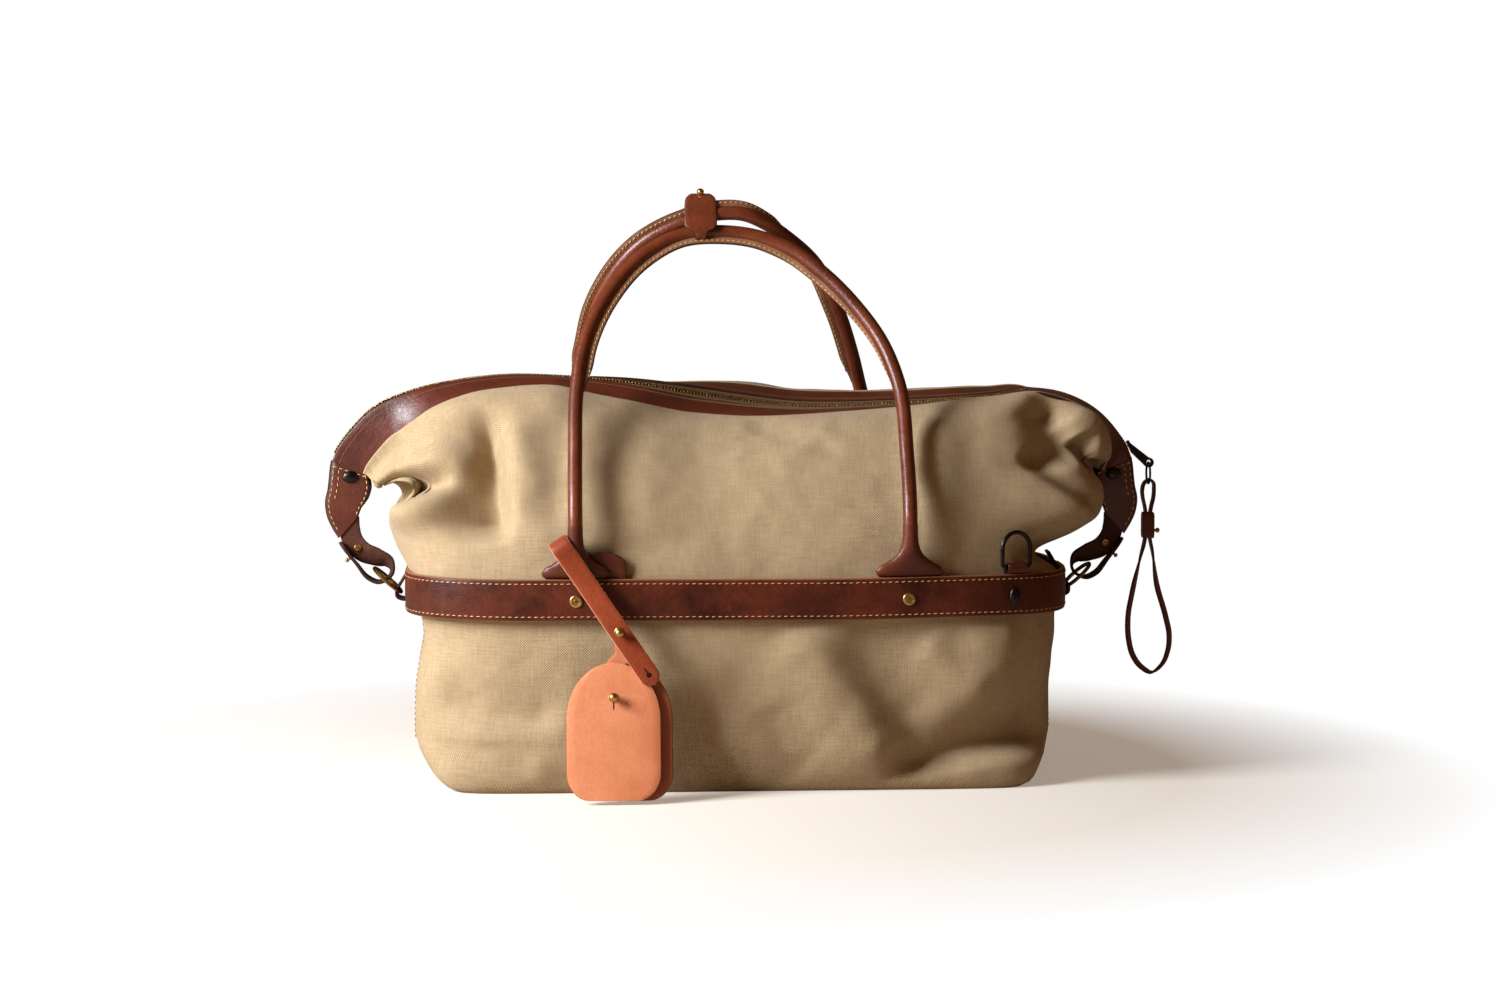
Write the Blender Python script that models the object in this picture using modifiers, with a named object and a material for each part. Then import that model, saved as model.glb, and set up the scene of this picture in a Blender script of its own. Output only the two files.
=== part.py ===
import math

import bmesh
import bpy
from mathutils import Matrix, Vector

for old in list(bpy.data.objects):
    bpy.data.objects.remove(old, do_unlink=True)

# All sizes are in metres. +X runs along the bag, the front faces -Y, the base stands on Z = 0.
GAP = 0.0003                    # left between pieces that touch
FRONT = -1
BACK = 1
LEFT = -1
RIGHT = 1

# Canvas tub
BASE_LENGTH = 0.440
BASE_DEPTH = 0.200
BASE_SQUARENESS = 7.0
BODY_LENGTH = 0.505
BODY_DEPTH = 0.226
BODY_SQUARENESS = 4.0
BASE_ROUND = 0.040              # height of the rounded bottom edge
CANVAS = 0.0024
BOARD_THICKNESS = 0.003
BOARD_MARGIN = 0.006

# Belt round the body
BELT_BOTTOM = 0.135
BELT_WIDTH = 0.032
BELT_THICKNESS = 0.0045
BELT_STANDOFF = 0.0032          # room behind the belt for tails and chapes
BELT_END_GAP = 0.0205           # between the ends of the two belts
BELT_TOP = BELT_BOTTOM + BELT_WIDTH

# Zip line: a sagging run between two round wings
WING_INSET = 0.0141             # from the body's end to the wing's centre
WING_CENTRE_X = BODY_LENGTH / 2 - WING_INSET
WING_CENTRE_Z = 0.2194
WING_RADIUS = 0.0846
WING_END_ANGLE = math.radians(21.0)
# Rise of the run over the wings' tops, by its place from the middle (-1 and 1 are the wings)
TOP_RISE = ((-1.0, 0.0), (-0.70, 0.0118), (0.32, -0.0098), (0.87, -0.0040), (1.0, 0.0))
# Slope of each facing in degrees, by its share of the zip line from the left
FRONT_SLOPE = ((0.0, 90), (0.06, 84), (0.20, 24), (0.30, 16), (0.40, 28), (0.66, 3), (0.80, -3), (0.84, 2),
               (0.955, 84), (1.0, 90))
BACK_SLOPE = ((0.0, 90), (0.06, 84), (0.20, 32), (0.30, 28), (0.51, -14), (0.70, -11), (0.80, -8), (0.84, 0),
              (0.955, 84), (1.0, 90))
FACING_WIDTH = 0.030
FACING_THICKNESS = 0.0025
FACING_INSET = 0.0068           # from the zip's middle to the facing's edge
TAPE_WIDTH = 0.0045
TAPE_THICKNESS = 0.0010
TAPE_DROP = 0.0012
TEETH_WIDTH = 0.0025
TEETH_THICKNESS = 0.0020
TEETH_RISE = 0.0006
ZIP_END = 0.006                 # zip left out at each end

# Upper canvas
UPPER_RISE = 0.055              # upright run above the belt
UPPER_BULGE = 0.020             # swell of the ends
UPPER_BULGE_POWER = 7           # higher keeps the swell nearer the ends
UPPER_SEAM = 0.0007             # between the canvas and the facing's edge
UPPER_CROWN = 0.035             # run in line with the facing
END_SEAM = 0.0017               # half the seam between front and back

# Leather ends of the zip
TAB_TOP_INNER = 0.2381
TAB_TOP_OUTER = 0.2493
TAB_INNER_X = WING_CENTRE_X + 0.0501
TAB_TOP_X = WING_CENTRE_X + 0.0800
TAB_OUTER_X = WING_CENTRE_X + 0.0831
TAB_WAIST_X = WING_CENTRE_X + 0.0471
TAB_WAIST_Z = 0.2265
TAB_BOTTOM = 0.2070
TAB_NECK_X = WING_CENTRE_X + 0.0631
TAB_NECK_WIDTH = 0.0175
TAB_THICKNESS = 0.0130
RIVET_X = WING_CENTRE_X + 0.0646
RIVET_Z = 0.2370
RIVET_WIDTH = 0.0128
RIVET_HEIGHT = 0.0098
RIVET_DOME = 0.0028
RIVET_SHANK = 0.0020

# Side rings, straps and chapes
RING_X = BODY_LENGTH / 2 + 0.0223
RING_Z = BELT_TOP - 0.0124
RING_RADIUS = 0.0140            # middle of the wire
RING_WIRE = 0.0016
RING_TILT = math.radians(41.9)  # slope of the ring below level
STRAP_WIDTH = 0.0160
STRAP_THICKNESS = 0.0024
STRAP_EYE_WIDE = 0.0042         # strap eye round the ring, half sizes
STRAP_EYE_LONG = 0.0062
STRAP_SPREAD = 0.0010
STRAP_FALL = 0.0120             # pull of the strap's curve below the tab
STRAP_LEAD = 0.0160             # and ahead of its eye
STRAP_RETURN = 0.0220           # end that comes back from the eye
CHAPE_WIDTH = 0.0180
CHAPE_THICKNESS = 0.0024
CHAPE_SLOT = 0.0036             # travel of the ring in its chape

# Studs
STUD_BALL = 0.0036
STUD_NECK = 0.0016
STUD_NECK_HEIGHT = 0.0016
STUD_BASE = 0.0034
STUD_BASE_HEIGHT = 0.0010

# Handles
HANDLE_X = 0.1270
HANDLE_RADIUS = 0.0055
HANDLE_SPRING = 0.099           # straight leg above its hinge
HANDLE_ARCH_HEIGHT = 0.137
BACK_HANDLE_RISE = 0.012        # extra leg of the back handle
HANDLE_APEX_OFFSET = 0.0040     # from the bag's middle plane
FOOT_TAIL_WIDTH = 0.0420
FOOT_TAIL_THICKNESS = 0.0022
FOOT_TAIL_LENGTH = 0.0260
FOOT_WIDTH = 0.0520
FOOT_THICKNESS = 0.0095
FOOT_FLARE = 0.0080
FOOT_SHOULDER = 0.0160
FOOT_SHOULDER_WIDTH = 0.0260
FOOT_NECK = 0.0235
FOOT_NECK_OUT = 0.0088
FOOT_HINGE = 0.0520
SCREW_HEAD = 0.0052
SCREW_HEAD_HEIGHT = 0.0014
SCREW_CHAMFER = 0.0007
SCREW_SHANK = 0.0020
SCREW_Z = BELT_BOTTOM + 0.0155

# Handle keeper
KEEPER_X = -0.0260
KEEPER_WIDTH = 0.0260
KEEPER_THICKNESS = 0.0022
KEEPER_EASE = 0.0024

# Rings for a shoulder strap
DRING_X = BODY_LENGTH / 2 - 0.0425
DRING_WIDTH = 0.0245
DRING_HEIGHT = 0.0275
DRING_WIRE = 0.00175
DRING_CORNER = 0.0028
DRING_OUT = 0.0047
DRING_UP = 0.0049
DRING_CHAPE_WIDTH = 0.0140
DRING_CHAPE_THICKNESS = 0.0020
DRING_CHAPE_LENGTH = 0.0240
DRING_RIVET_WIDTH = 0.0090
DRING_RIVET_HEIGHT = 0.0150

# Zip slider and pull
SLIDER_ANGLE = math.radians(26.0)
SLIDER_LENGTH = 0.0100
SLIDER_WIDTH = 0.0060
SLIDER_THICKNESS = 0.0022
SLIDER_LIFT = 0.0022
BAIL_ALONG = 0.0180
BAIL_OUT = 0.0112
BAIL_RADIUS = 0.0040
BAIL_HOLE = 0.0021
PULL_RING_RADIUS = 0.0085
PULL_RING_WIRE = 0.0009
PULL_WIDTH = 0.0090
PULL_THICKNESS = 0.0020
PULL_NECK = 0.0017              # half the distance between the strands
PULL_EYE_DROP = 0.0037
PULL_EYE_LENGTH = 0.0250
PULL_EYE_WIDTH = 0.0102
PULL_NECK_LENGTH = 0.0240
PULL_LOOP_LENGTH = 0.1080
PULL_LOOP_WIDTH = 0.0340
PULL_KEEPER_WALL = 0.0018
PULL_KEEPER_HEIGHT = 0.0200

# Luggage tag
TAG_STRAP_WIDTH = 0.0158
TAG_STRAP_THICKNESS = 0.0022
TAG_STRAP_LEAN = math.radians(34.3)
TAG_STRAP_EASE = 0.0014
TAG_STRAP_TAIL = 0.0042         # end behind the leg
TAG_LOOP_Z = 0.1900
TAG_LOOP_SHIFT = 0.0088         # from the leg to the strap's fold
TAG_STRAP_REACH = 0.1214
TAG_STUD_REACH = 0.0737
TAG_STRAP_REST = 0.0894         # height on the leaf where the strap's end lies
TAG_STUD_HEIGHT = 0.0832
TAG_LEAF_WIDTH = 0.0715
TAG_LEAF_HEIGHT = 0.1040
TAG_LEAF_THICKNESS = 0.0022
TAG_LEAF_CORNER = 0.0200
TAG_LEAF_CROWN = 0.0380
TAG_SPACE = 0.0022              # between the leaves
TAG_BACK_SHIFT = 0.0090
TAG_X = -0.0995
TAG_FOOT_Y = -0.1500
TAG_FOOT_Z = 0.0025
TAG_LEAN = math.radians(11.0)
HANGER_WIDTH = 0.0140
HANGER_THICKNESS = 0.0014
HANGER_TUCK = 0.0200
HANGER_EASE = 0.0010            # behind the strap

parts = bpy.data.collections.new("doctor_bag")
cutters = bpy.data.collections.new("cutters")
bpy.context.scene.collection.children.link(parts)
bpy.context.scene.collection.children.link(cutters)


def finish(name, colour, roughness, metallic=0.0):
    material = bpy.data.materials.new(name)
    material.use_nodes = True
    shader = material.node_tree.nodes["Principled BSDF"]
    shader.inputs["Base Color"].default_value = (*colour, 1.0)
    shader.inputs["Roughness"].default_value = roughness
    shader.inputs["Metallic"].default_value = metallic
    return material


canvas = finish("tan_canvas", (0.53, 0.38, 0.21), 0.9)
leather = finish("chestnut_leather", (0.15, 0.045, 0.022), 0.4)
tag_leather = finish("orange_leather", (0.56, 0.19, 0.08), 0.5)
brass = finish("antique_brass", (0.42, 0.30, 0.14), 0.35, 1.0)
gunmetal = finish("gunmetal", (0.06, 0.055, 0.05), 0.4, 1.0)
tape = finish("zip_tape", (0.28, 0.19, 0.10), 0.9)
board = finish("fibre_board", (0.10, 0.08, 0.06), 0.8)


# An empty on a joint's axis, which carries the pieces that turn about it.
def pivot(name, location):
    empty = bpy.data.objects.new(name, None)
    empty.location = location
    empty.empty_display_size = 0.02
    parts.objects.link(empty)
    return empty


def place(obj, material, carrier=None, matrix=None):
    obj.data.materials.append(material)
    parts.objects.link(obj)
    if matrix is not None:
        obj.matrix_basis = matrix
    if carrier is not None:
        obj.parent = carrier
        obj.matrix_parent_inverse = Matrix.Translation(carrier.location).inverted()
    return obj


def mesh_object(name, bm):
    bmesh.ops.recalc_face_normals(bm, faces=bm.faces)
    mesh = bpy.data.meshes.new(name)
    bm.to_mesh(mesh)
    bm.free()
    mesh.shade_smooth()
    mesh.set_sharp_from_angle(angle=math.radians(40))
    return bpy.data.objects.new(name, mesh)


# Skins closed rings of points one after the other and closes the first ring, and the last if asked.
def loft(name, rings, close_end=True):
    bm = bmesh.new()
    loops = [[bm.verts.new(point) for point in ring] for ring in rings]
    for lower, upper in zip(loops, loops[1:]):
        for i in range(len(lower)):
            j = (i + 1) % len(lower)
            bm.faces.new((lower[i], lower[j], upper[j], upper[i]))
    bm.faces.new(loops[0])
    if close_end:
        bm.faces.new(loops[-1])
    return mesh_object(name, bm)


# Skins rows of points as an open surface and thickens it.
def sheet(name, rows, thickness, cyclic=False):
    bm = bmesh.new()
    lines = [[bm.verts.new(point) for point in row] for row in rows]
    if cyclic:
        lines.append(lines[0])
    for first, second in zip(lines, lines[1:]):
        for i in range(len(first) - 1):
            bm.faces.new((first[i], first[i + 1], second[i + 1], second[i]))
    obj = mesh_object(name, bm)
    thicken(obj, thickness, 0.0)
    return obj


def thicken(obj, thickness, offset):
    wall = obj.modifiers.new("wall", "SOLIDIFY")
    wall.thickness = thickness
    wall.offset = offset
    wall.use_even_offset = True


# A flat strap along a path, its width laid along one vector or along one for each point.
def ribbon(name, path, width, across, thickness, cyclic=False):
    if isinstance(across, Vector):
        across = [across] * len(path)
    rows = [[p - a * width / 2, p, p + a * width / 2] for p, a in zip(path, across)]
    return sheet(name, rows, thickness, cyclic)


def poly_spline(curve, points, cyclic, radii=None):
    spline = curve.splines.new("POLY")
    spline.points.add(len(points) - 1)
    for i, (target, point) in enumerate(zip(spline.points, points)):
        target.co = (*Vector(point).to_3d(), 1.0)
        if radii:
            target.radius = radii[i]
    spline.use_cyclic_u = cyclic


# A flat outline in XY, with holes, thickened both ways along Z.
def plate(name, outline, thickness, holes=()):
    curve = bpy.data.curves.new(name, "CURVE")
    curve.dimensions = "2D"
    curve.fill_mode = "BOTH"
    curve.extrude = thickness / 2
    for loop in (outline, *holes):
        poly_spline(curve, loop, True)
    return bpy.data.objects.new(name, curve)


def wire(name, points, radius, cyclic=False, radii=None):
    curve = bpy.data.curves.new(name, "CURVE")
    curve.dimensions = "3D"
    curve.bevel_depth = radius
    curve.bevel_resolution = 2
    curve.use_fill_caps = True
    poly_spline(curve, points, cyclic, radii)
    return bpy.data.objects.new(name, curve)


# Turns a profile of (radius, height) points about Z.
def turned(name, profile, steps=16):
    bm = bmesh.new()
    verts = [bm.verts.new((r, 0.0, z)) for r, z in profile]
    for first, second in zip(verts, verts[1:]):
        bm.edges.new((first, second))
    mesh = bpy.data.meshes.new(name)
    bm.to_mesh(mesh)
    bm.free()
    obj = bpy.data.objects.new(name, mesh)
    screw = obj.modifiers.new("turn", "SCREW")
    screw.axis = "Z"
    screw.steps = steps
    screw.render_steps = steps
    screw.use_merge_vertices = True
    screw.merge_threshold = 0.00001
    screw.use_smooth_shade = True
    return obj


def arc(centre, radius, start, end, steps):
    angles = [start + (end - start) * i / steps for i in range(steps + 1)]
    return [(centre[0] + radius * math.cos(a), centre[1] + radius * math.sin(a)) for a in angles]


def circle(centre, radius, steps=20):
    return arc(centre, radius, 0.0, math.tau * (steps - 1) / steps, steps - 1)


def as_mesh(obj):
    bpy.context.view_layer.update()
    graph = bpy.context.evaluated_depsgraph_get()
    name = obj.name
    matrix = obj.matrix_basis.copy()
    mesh = bpy.data.meshes.new_from_object(obj.evaluated_get(graph))
    bpy.data.objects.remove(obj, do_unlink=True)
    bm = bmesh.new()
    bm.from_mesh(mesh)
    bmesh.ops.remove_doubles(bm, verts=bm.verts, dist=0.000001)
    bm.to_mesh(mesh)
    bm.free()
    solid = bpy.data.objects.new(name, mesh)
    solid.matrix_basis = matrix
    parts.objects.link(solid)
    return solid


# Cuts a round hole along the Z axis of the given frame.
def bore(obj, matrix, radius, depth):
    bm = bmesh.new()
    bmesh.ops.create_cone(bm, cap_ends=True, segments=20, radius1=radius, radius2=radius, depth=depth)
    cutter = mesh_object(obj.name + "_hole", bm)
    cutter.matrix_basis = matrix
    cutter.hide_render = True
    cutter.display_type = "WIRE"
    cutters.objects.link(cutter)
    cut = obj.modifiers.new("hole", "BOOLEAN")
    cut.operation = "DIFFERENCE"
    cut.object = cutter


# A frame whose Z axis points along a direction.
def aimed(location, direction):
    return Matrix.Translation(location) @ Vector(direction).to_track_quat("Z", "Y").to_matrix().to_4x4()


# A frame that lays a plate's X and Y along world X and Z, so that it is thick along Y.
def upright(location=(0, 0, 0)):
    return Matrix.Translation(location) @ Matrix.Rotation(math.pi / 2, 4, "X")


def ease(value):
    value = min(max(value, 0.0), 1.0)
    return value * value * (3 - 2 * value)


def squircle(length, depth, squareness, angle):
    c = math.cos(angle)
    s = math.sin(angle)
    reach = (abs(c) ** squareness + abs(s) ** squareness) ** (-1 / squareness)
    return Vector((length / 2 * c * reach, depth / 2 * s * reach, 0.0))


def body_ring(z, count=64):
    swell = math.sqrt(1 - (1 - min(z / BASE_ROUND, 1.0)) ** 2)
    length = BASE_LENGTH + (BODY_LENGTH - BASE_LENGTH) * swell
    depth = BASE_DEPTH + (BODY_DEPTH - BASE_DEPTH) * swell
    squareness = BASE_SQUARENESS + (BODY_SQUARENESS - BASE_SQUARENESS) * swell
    angles = [math.tau * i / count for i in range(count)]
    return [squircle(length, depth, squareness, a) + Vector((0, 0, z)) for a in angles]


# The canvas wall's point at a given x, or one on the belt over it, as a frame whose -Y points out.
def wall_frame(x, face, standoff=0.0):
    a = BODY_LENGTH / 2 + standoff
    b = BODY_DEPTH / 2 + standoff
    n = BODY_SQUARENESS
    y = b * (1 - abs(x / a) ** n) ** (1 / n)
    out_x = math.copysign(abs(x) ** (n - 1) / a ** n, x)
    out_y = face * y ** (n - 1) / b ** n
    turn = math.atan2(out_x, -out_y)
    return Matrix.Translation((x, face * y, 0)) @ Matrix.Rotation(turn, 4, "Z")


def stud(name, matrix, material, carrier=None):
    neck_top = STUD_BASE_HEIGHT + STUD_NECK_HEIGHT
    lowest = math.asin(STUD_NECK / STUD_BALL)
    ball_z = neck_top + STUD_BALL * math.cos(lowest)
    ball = arc((0, ball_z), STUD_BALL, math.pi / 2, lowest - math.pi / 2, 8)
    base = [(STUD_NECK, STUD_BASE_HEIGHT), (STUD_BASE, STUD_BASE_HEIGHT), (STUD_BASE, 0.0), (0.0, 0.0)]
    return place(turned(name, [(0.0, ball[0][1])] + ball[1:] + base), material, carrier, matrix)


# A domed head, stretched to an oval, with a shank below it.
def oval_rivet(name, matrix, width, height, shank_length, two_heads):
    half = width / 2
    dome = arc((0, 0), half, math.pi / 2, 0.0, 6)
    head = [(r, z * RIVET_DOME / half) for r, z in dome]
    profile = head + [(RIVET_SHANK, 0.0), (RIVET_SHANK, -shank_length)]
    if two_heads:
        profile += [(r, -shank_length - z) for r, z in reversed(head)]
    else:
        profile.append((0.0, -shank_length))
    profile[0] = (0.0, profile[0][1])
    profile[-1] = (0.0, profile[-1][1])
    stretch = Matrix.Diagonal((1.0, height / width, 1.0, 1.0))
    return place(turned(name, profile), gunmetal, None, matrix @ stretch)


# Canvas tub and its base board
def make_tub():
    heights = [0.0] + [BASE_ROUND * k for k in (0.04, 0.15, 0.35, 0.65, 1.0)]
    heights += [(BASE_ROUND + BELT_TOP) / 2, BELT_TOP - GAP]
    tub = loft("canvas_body", [body_ring(z) for z in heights], close_end=False)
    thicken(tub, CANVAS, -1.0)
    place(tub, canvas)
    angles = [math.tau * i / 48 for i in range(48)]
    length = BASE_LENGTH - 2 * (CANVAS + BOARD_MARGIN)
    depth = BASE_DEPTH - 2 * (CANVAS + BOARD_MARGIN)
    outline = [squircle(length, depth, BASE_SQUARENESS, a).to_2d() for a in angles]
    base = plate("base_board", outline, BOARD_THICKNESS)
    place(base, board, None, Matrix.Translation((0, 0, CANVAS + GAP + BOARD_THICKNESS / 2)))


def belt_outline(face):
    inner = (BODY_LENGTH + 2 * BELT_STANDOFF, BODY_DEPTH + 2 * BELT_STANDOFF)
    outer = (inner[0] + 2 * BELT_THICKNESS, inner[1] + 2 * BELT_THICKNESS)
    ratio = BELT_END_GAP / inner[1]
    start = math.atan(ratio / (1 - ratio ** BODY_SQUARENESS) ** (1 / BODY_SQUARENESS))
    steps = 40
    angles = [face * (start + (math.pi - 2 * start) * i / steps) for i in range(steps + 1)]
    outside = [squircle(*outer, BODY_SQUARENESS, a).to_2d() for a in angles]
    inside = [squircle(*inner, BODY_SQUARENESS, a).to_2d() for a in angles]
    return outside + inside[::-1]


def make_belt(name, face):
    belt = plate(name, belt_outline(face), BELT_WIDTH)
    place(belt, leather, None, Matrix.Translation((0, 0, BELT_BOTTOM + BELT_WIDTH / 2)))
    belt = as_mesh(belt)
    for x in (-HANDLE_X, HANDLE_X):
        bore(belt, belt_face(x, face), SCREW_SHANK + GAP, 4 * BELT_THICKNESS)
    shank = RIVET_SHANK * DRING_RIVET_HEIGHT / DRING_RIVET_WIDTH
    bore(belt, belt_face(-face * DRING_X, face), shank + GAP, 4 * BELT_THICKNESS)


# A frame on the belt's outer face whose Z points out.
def belt_face(x, face):
    surface = wall_frame(x, face, BELT_STANDOFF + BELT_THICKNESS)
    return surface @ Matrix.Translation((0, -GAP, SCREW_Z)) @ Matrix.Rotation(math.pi / 2, 4, "X")


# Zip line from the left wing's end to the right one's: a point and the direction away from the bag.
WING_ARC = WING_RADIUS * (math.pi / 2 - WING_END_ANGLE)
ZIP_LENGTH = 2 * (WING_ARC + WING_CENTRE_X)


def zip_line(run):
    if run < WING_ARC:
        angle = math.pi - WING_END_ANGLE - run / WING_RADIUS
        centre_x = -WING_CENTRE_X
    elif run > ZIP_LENGTH - WING_ARC:
        angle = WING_END_ANGLE + (ZIP_LENGTH - run) / WING_RADIUS
        centre_x = WING_CENTRE_X
    else:
        x = run - WING_ARC - WING_CENTRE_X
        rise = tabled(x / WING_CENTRE_X, TOP_RISE)
        return Vector((x, 0, WING_CENTRE_Z + WING_RADIUS + rise)), Vector((0, 0, 1))
    out = Vector((math.cos(angle), 0, math.sin(angle)))
    return Vector((centre_x, 0, WING_CENTRE_Z)) + out * WING_RADIUS, out


# Value at a place in a table of places and values, with an even passage between them.
def tabled(place_along, table):
    for (start, low), (end, high) in zip(table, table[1:]):
        if place_along <= end:
            return low + (high - low) * ease((place_along - start) / (end - start))
    return table[-1][1]


# Where the facing lies at a point of the zip line: its edge and the way across it.
def facing_lie(run, face):
    point, out = zip_line(run)
    slope = math.radians(tabled(run / ZIP_LENGTH, FRONT_SLOPE if face < 0 else BACK_SLOPE))
    side = Vector((0, face, 0))
    across = side * math.cos(slope) - out * math.sin(slope)
    return point + side * FACING_INSET, across


def runs(count, margin=0.0):
    return [margin + (ZIP_LENGTH - 2 * margin) * i / (count - 1) for i in range(count)]


def zip_strip(name, face, inner, width, lift, thickness):
    rows = []
    for run in runs(49, ZIP_END):
        point, out = zip_line(run)
        level = point + out * lift
        rows.append([level + Vector((0, face * inner, 0)), level + Vector((0, face * (inner + width), 0))])
    return sheet(name, rows, thickness)


def make_mouth(side, face, carrier):
    rows = []
    for run in runs(45):
        edge, across = facing_lie(run, face)
        rows.append([edge + across * FACING_WIDTH * k / 2 for k in range(3)])
    place(sheet("facing_" + side, rows, FACING_THICKNESS), leather, carrier)
    strip = zip_strip("zip_tape_" + side, face, GAP, TAPE_WIDTH, -TAPE_DROP, TAPE_THICKNESS)
    place(strip, tape, carrier)
    strip = zip_strip("zip_teeth_" + side, face, GAP, TEETH_WIDTH, TEETH_RISE, TEETH_THICKNESS)
    place(strip, brass, carrier)


# The canvas from the belt to the facing: upright above the belt, then in line with the facing.
def make_upper(side, face):
    stations = 45
    rows = []
    for i, run in enumerate(runs(stations)):
        angle = face * math.pi * (1 - i / (stations - 1))
        foot = squircle(BODY_LENGTH - CANVAS, BODY_DEPTH - CANVAS, BODY_SQUARENESS, angle)
        foot.y = face * max(abs(foot.y), END_SEAM)
        foot.z = BELT_TOP + GAP
        edge, across = facing_lie(run, face)
        head = edge + across * (FACING_WIDTH + UPPER_SEAM)
        bulge = UPPER_BULGE * math.cos(angle) ** UPPER_BULGE_POWER
        rise = foot + Vector((bulge, 0, UPPER_RISE))
        crown = head + across * UPPER_CROWN
        rows.append([cubic(foot, rise, crown, head, v / 8) for v in range(9)])
    place(sheet("canvas_" + side + "_upper", rows, CANVAS), canvas)


def cubic(a, b, c, d, v):
    w = 1 - v
    return a * w ** 3 + b * (3 * w * w * v) + c * (3 * w * v * v) + d * v ** 3


def make_tab(side, hand):
    neck_in = TAB_NECK_X - TAB_NECK_WIDTH / 2
    neck_out = TAB_NECK_X + TAB_NECK_WIDTH / 2
    outline = [(TAB_INNER_X, TAB_TOP_INNER), (TAB_TOP_X, TAB_TOP_OUTER), (TAB_OUTER_X, TAB_WAIST_Z)]
    outline += [(neck_out, TAB_BOTTOM), (neck_in, TAB_BOTTOM), (TAB_WAIST_X, TAB_WAIST_Z)]
    tab = plate("zip_end_tab_" + side, [(hand * x, z) for x, z in outline], TAB_THICKNESS)
    place(tab, leather, None, upright())
    tab = as_mesh(tab)
    hole = aimed((hand * RIVET_X, 0, RIVET_Z), (0, -1, 0))
    bore(tab, hole, RIVET_SHANK * RIVET_HEIGHT / RIVET_WIDTH + 2 * GAP, 2 * TAB_THICKNESS)
    seat = TAB_THICKNESS / 2 + GAP
    frame = Matrix.Translation((hand * RIVET_X, -seat, RIVET_Z)) @ Matrix.Rotation(math.pi / 2, 4, "X")
    oval_rivet("wing_rivet_" + side, frame, RIVET_WIDTH, RIVET_HEIGHT, 2 * seat, True)


# Points of the side fittings are worked out for the left side and mirrored for the right.
def make_side(side, hand):
    inward = Vector((math.cos(RING_TILT), 0, -math.sin(RING_TILT)))
    over = Vector((math.sin(RING_TILT), 0, math.cos(RING_TILT)))
    centre = Vector((-RING_X, 0, RING_Z))
    mirror = Matrix.Diagonal((-hand, 1, 1, 1))

    ring_pivot = pivot("side_ring_" + side + "_axis", mirror @ centre)
    angles = [math.tau * i / 36 for i in range(36)]
    loop = [inward * math.cos(a) * RING_RADIUS + Vector((0, math.sin(a) * RING_RADIUS, 0)) for a in angles]
    ring = wire("side_ring_" + side, [mirror @ (centre + p) for p in loop], RING_WIRE, cyclic=True)
    place(ring, brass, ring_pivot)

    held = centre - inward * RING_RADIUS
    top = Vector((-TAB_NECK_X, 0, TAB_BOTTOM - GAP))
    enter = held + over * STRAP_EYE_WIDE
    leave = held - over * STRAP_EYE_WIDE
    eye = []
    for i in range(1, 10):
        a = math.pi / 2 - math.pi * i / 10
        eye.append(held + inward * math.cos(a) * STRAP_EYE_LONG + over * math.sin(a) * STRAP_EYE_WIDE)
    knee = top + Vector((-STRAP_SPREAD, 0, -STRAP_FALL))
    bend = enter - inward * STRAP_LEAD + over * STRAP_SPREAD
    down = [cubic(top, knee, bend, enter, v / 8) for v in range(9)]
    back = [leave - (inward * STRAP_RETURN / 2 + over * STRAP_SPREAD) * k for k in range(3)]
    path = down + eye + back
    across = []
    for i in range(len(path)):
        turn = math.pi / 2 * ease(i / 6)
        across.append(Vector((math.cos(turn), math.sin(turn), 0)))
    flip = [Vector((-hand * a.x, a.y, a.z)) for a in across]
    strap = ribbon("side_strap_" + side, [mirror @ p for p in path], STRAP_WIDTH, flip, STRAP_THICKNESS)
    place(strap, leather)
    seat = back[1] - over * (STRAP_THICKNESS / 2 + 2 * GAP)
    stud("strap_stud_" + side, aimed(mirror @ seat, mirror.to_3x3() @ -over), gunmetal)

    carried = centre + inward * RING_RADIUS
    slot = RING_WIRE + 2 * GAP
    shell = slot + CHAPE_THICKNESS
    far = carried - inward * CHAPE_SLOT
    face_x = -BODY_LENGTH / 2 - GAP
    hole = stadium(far, carried, slot)
    outer = stadium(far, carried, shell)
    low = min(p[1] for p in outer)
    high = max(p[1] for p in outer)
    start = max(range(len(outer)), key=lambda i: outer[i][1])
    outer = outer[start:] + outer[:start]
    end = min(range(len(outer)), key=lambda i: outer[i][1])
    outline = outer[:end + 1] + [(face_x, low), (face_x, high)]
    flat = plate("ring_chape_" + side, [(-hand * x, z) for x, z in outline], CHAPE_WIDTH,
                 [[(-hand * x, z) for x, z in hole]])
    place(flat, leather, None, upright())


# Outline in XZ round two points, run counter-clockwise.
def stadium(first, second, radius):
    along = math.atan2(second.z - first.z, second.x - first.x)
    right = arc((second.x, second.z), radius, along - math.pi / 2, along + math.pi / 2, 8)
    left = arc((first.x, first.z), radius, along + math.pi / 2, along + 3 * math.pi / 2, 8)
    return right + left


def foot_ring(width, thickness, out, z, squareness):
    angles = [math.tau * i / 24 for i in range(24)]
    return [squircle(width, thickness, squareness, a) + Vector((0, -out, z)) for a in angles]


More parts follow.
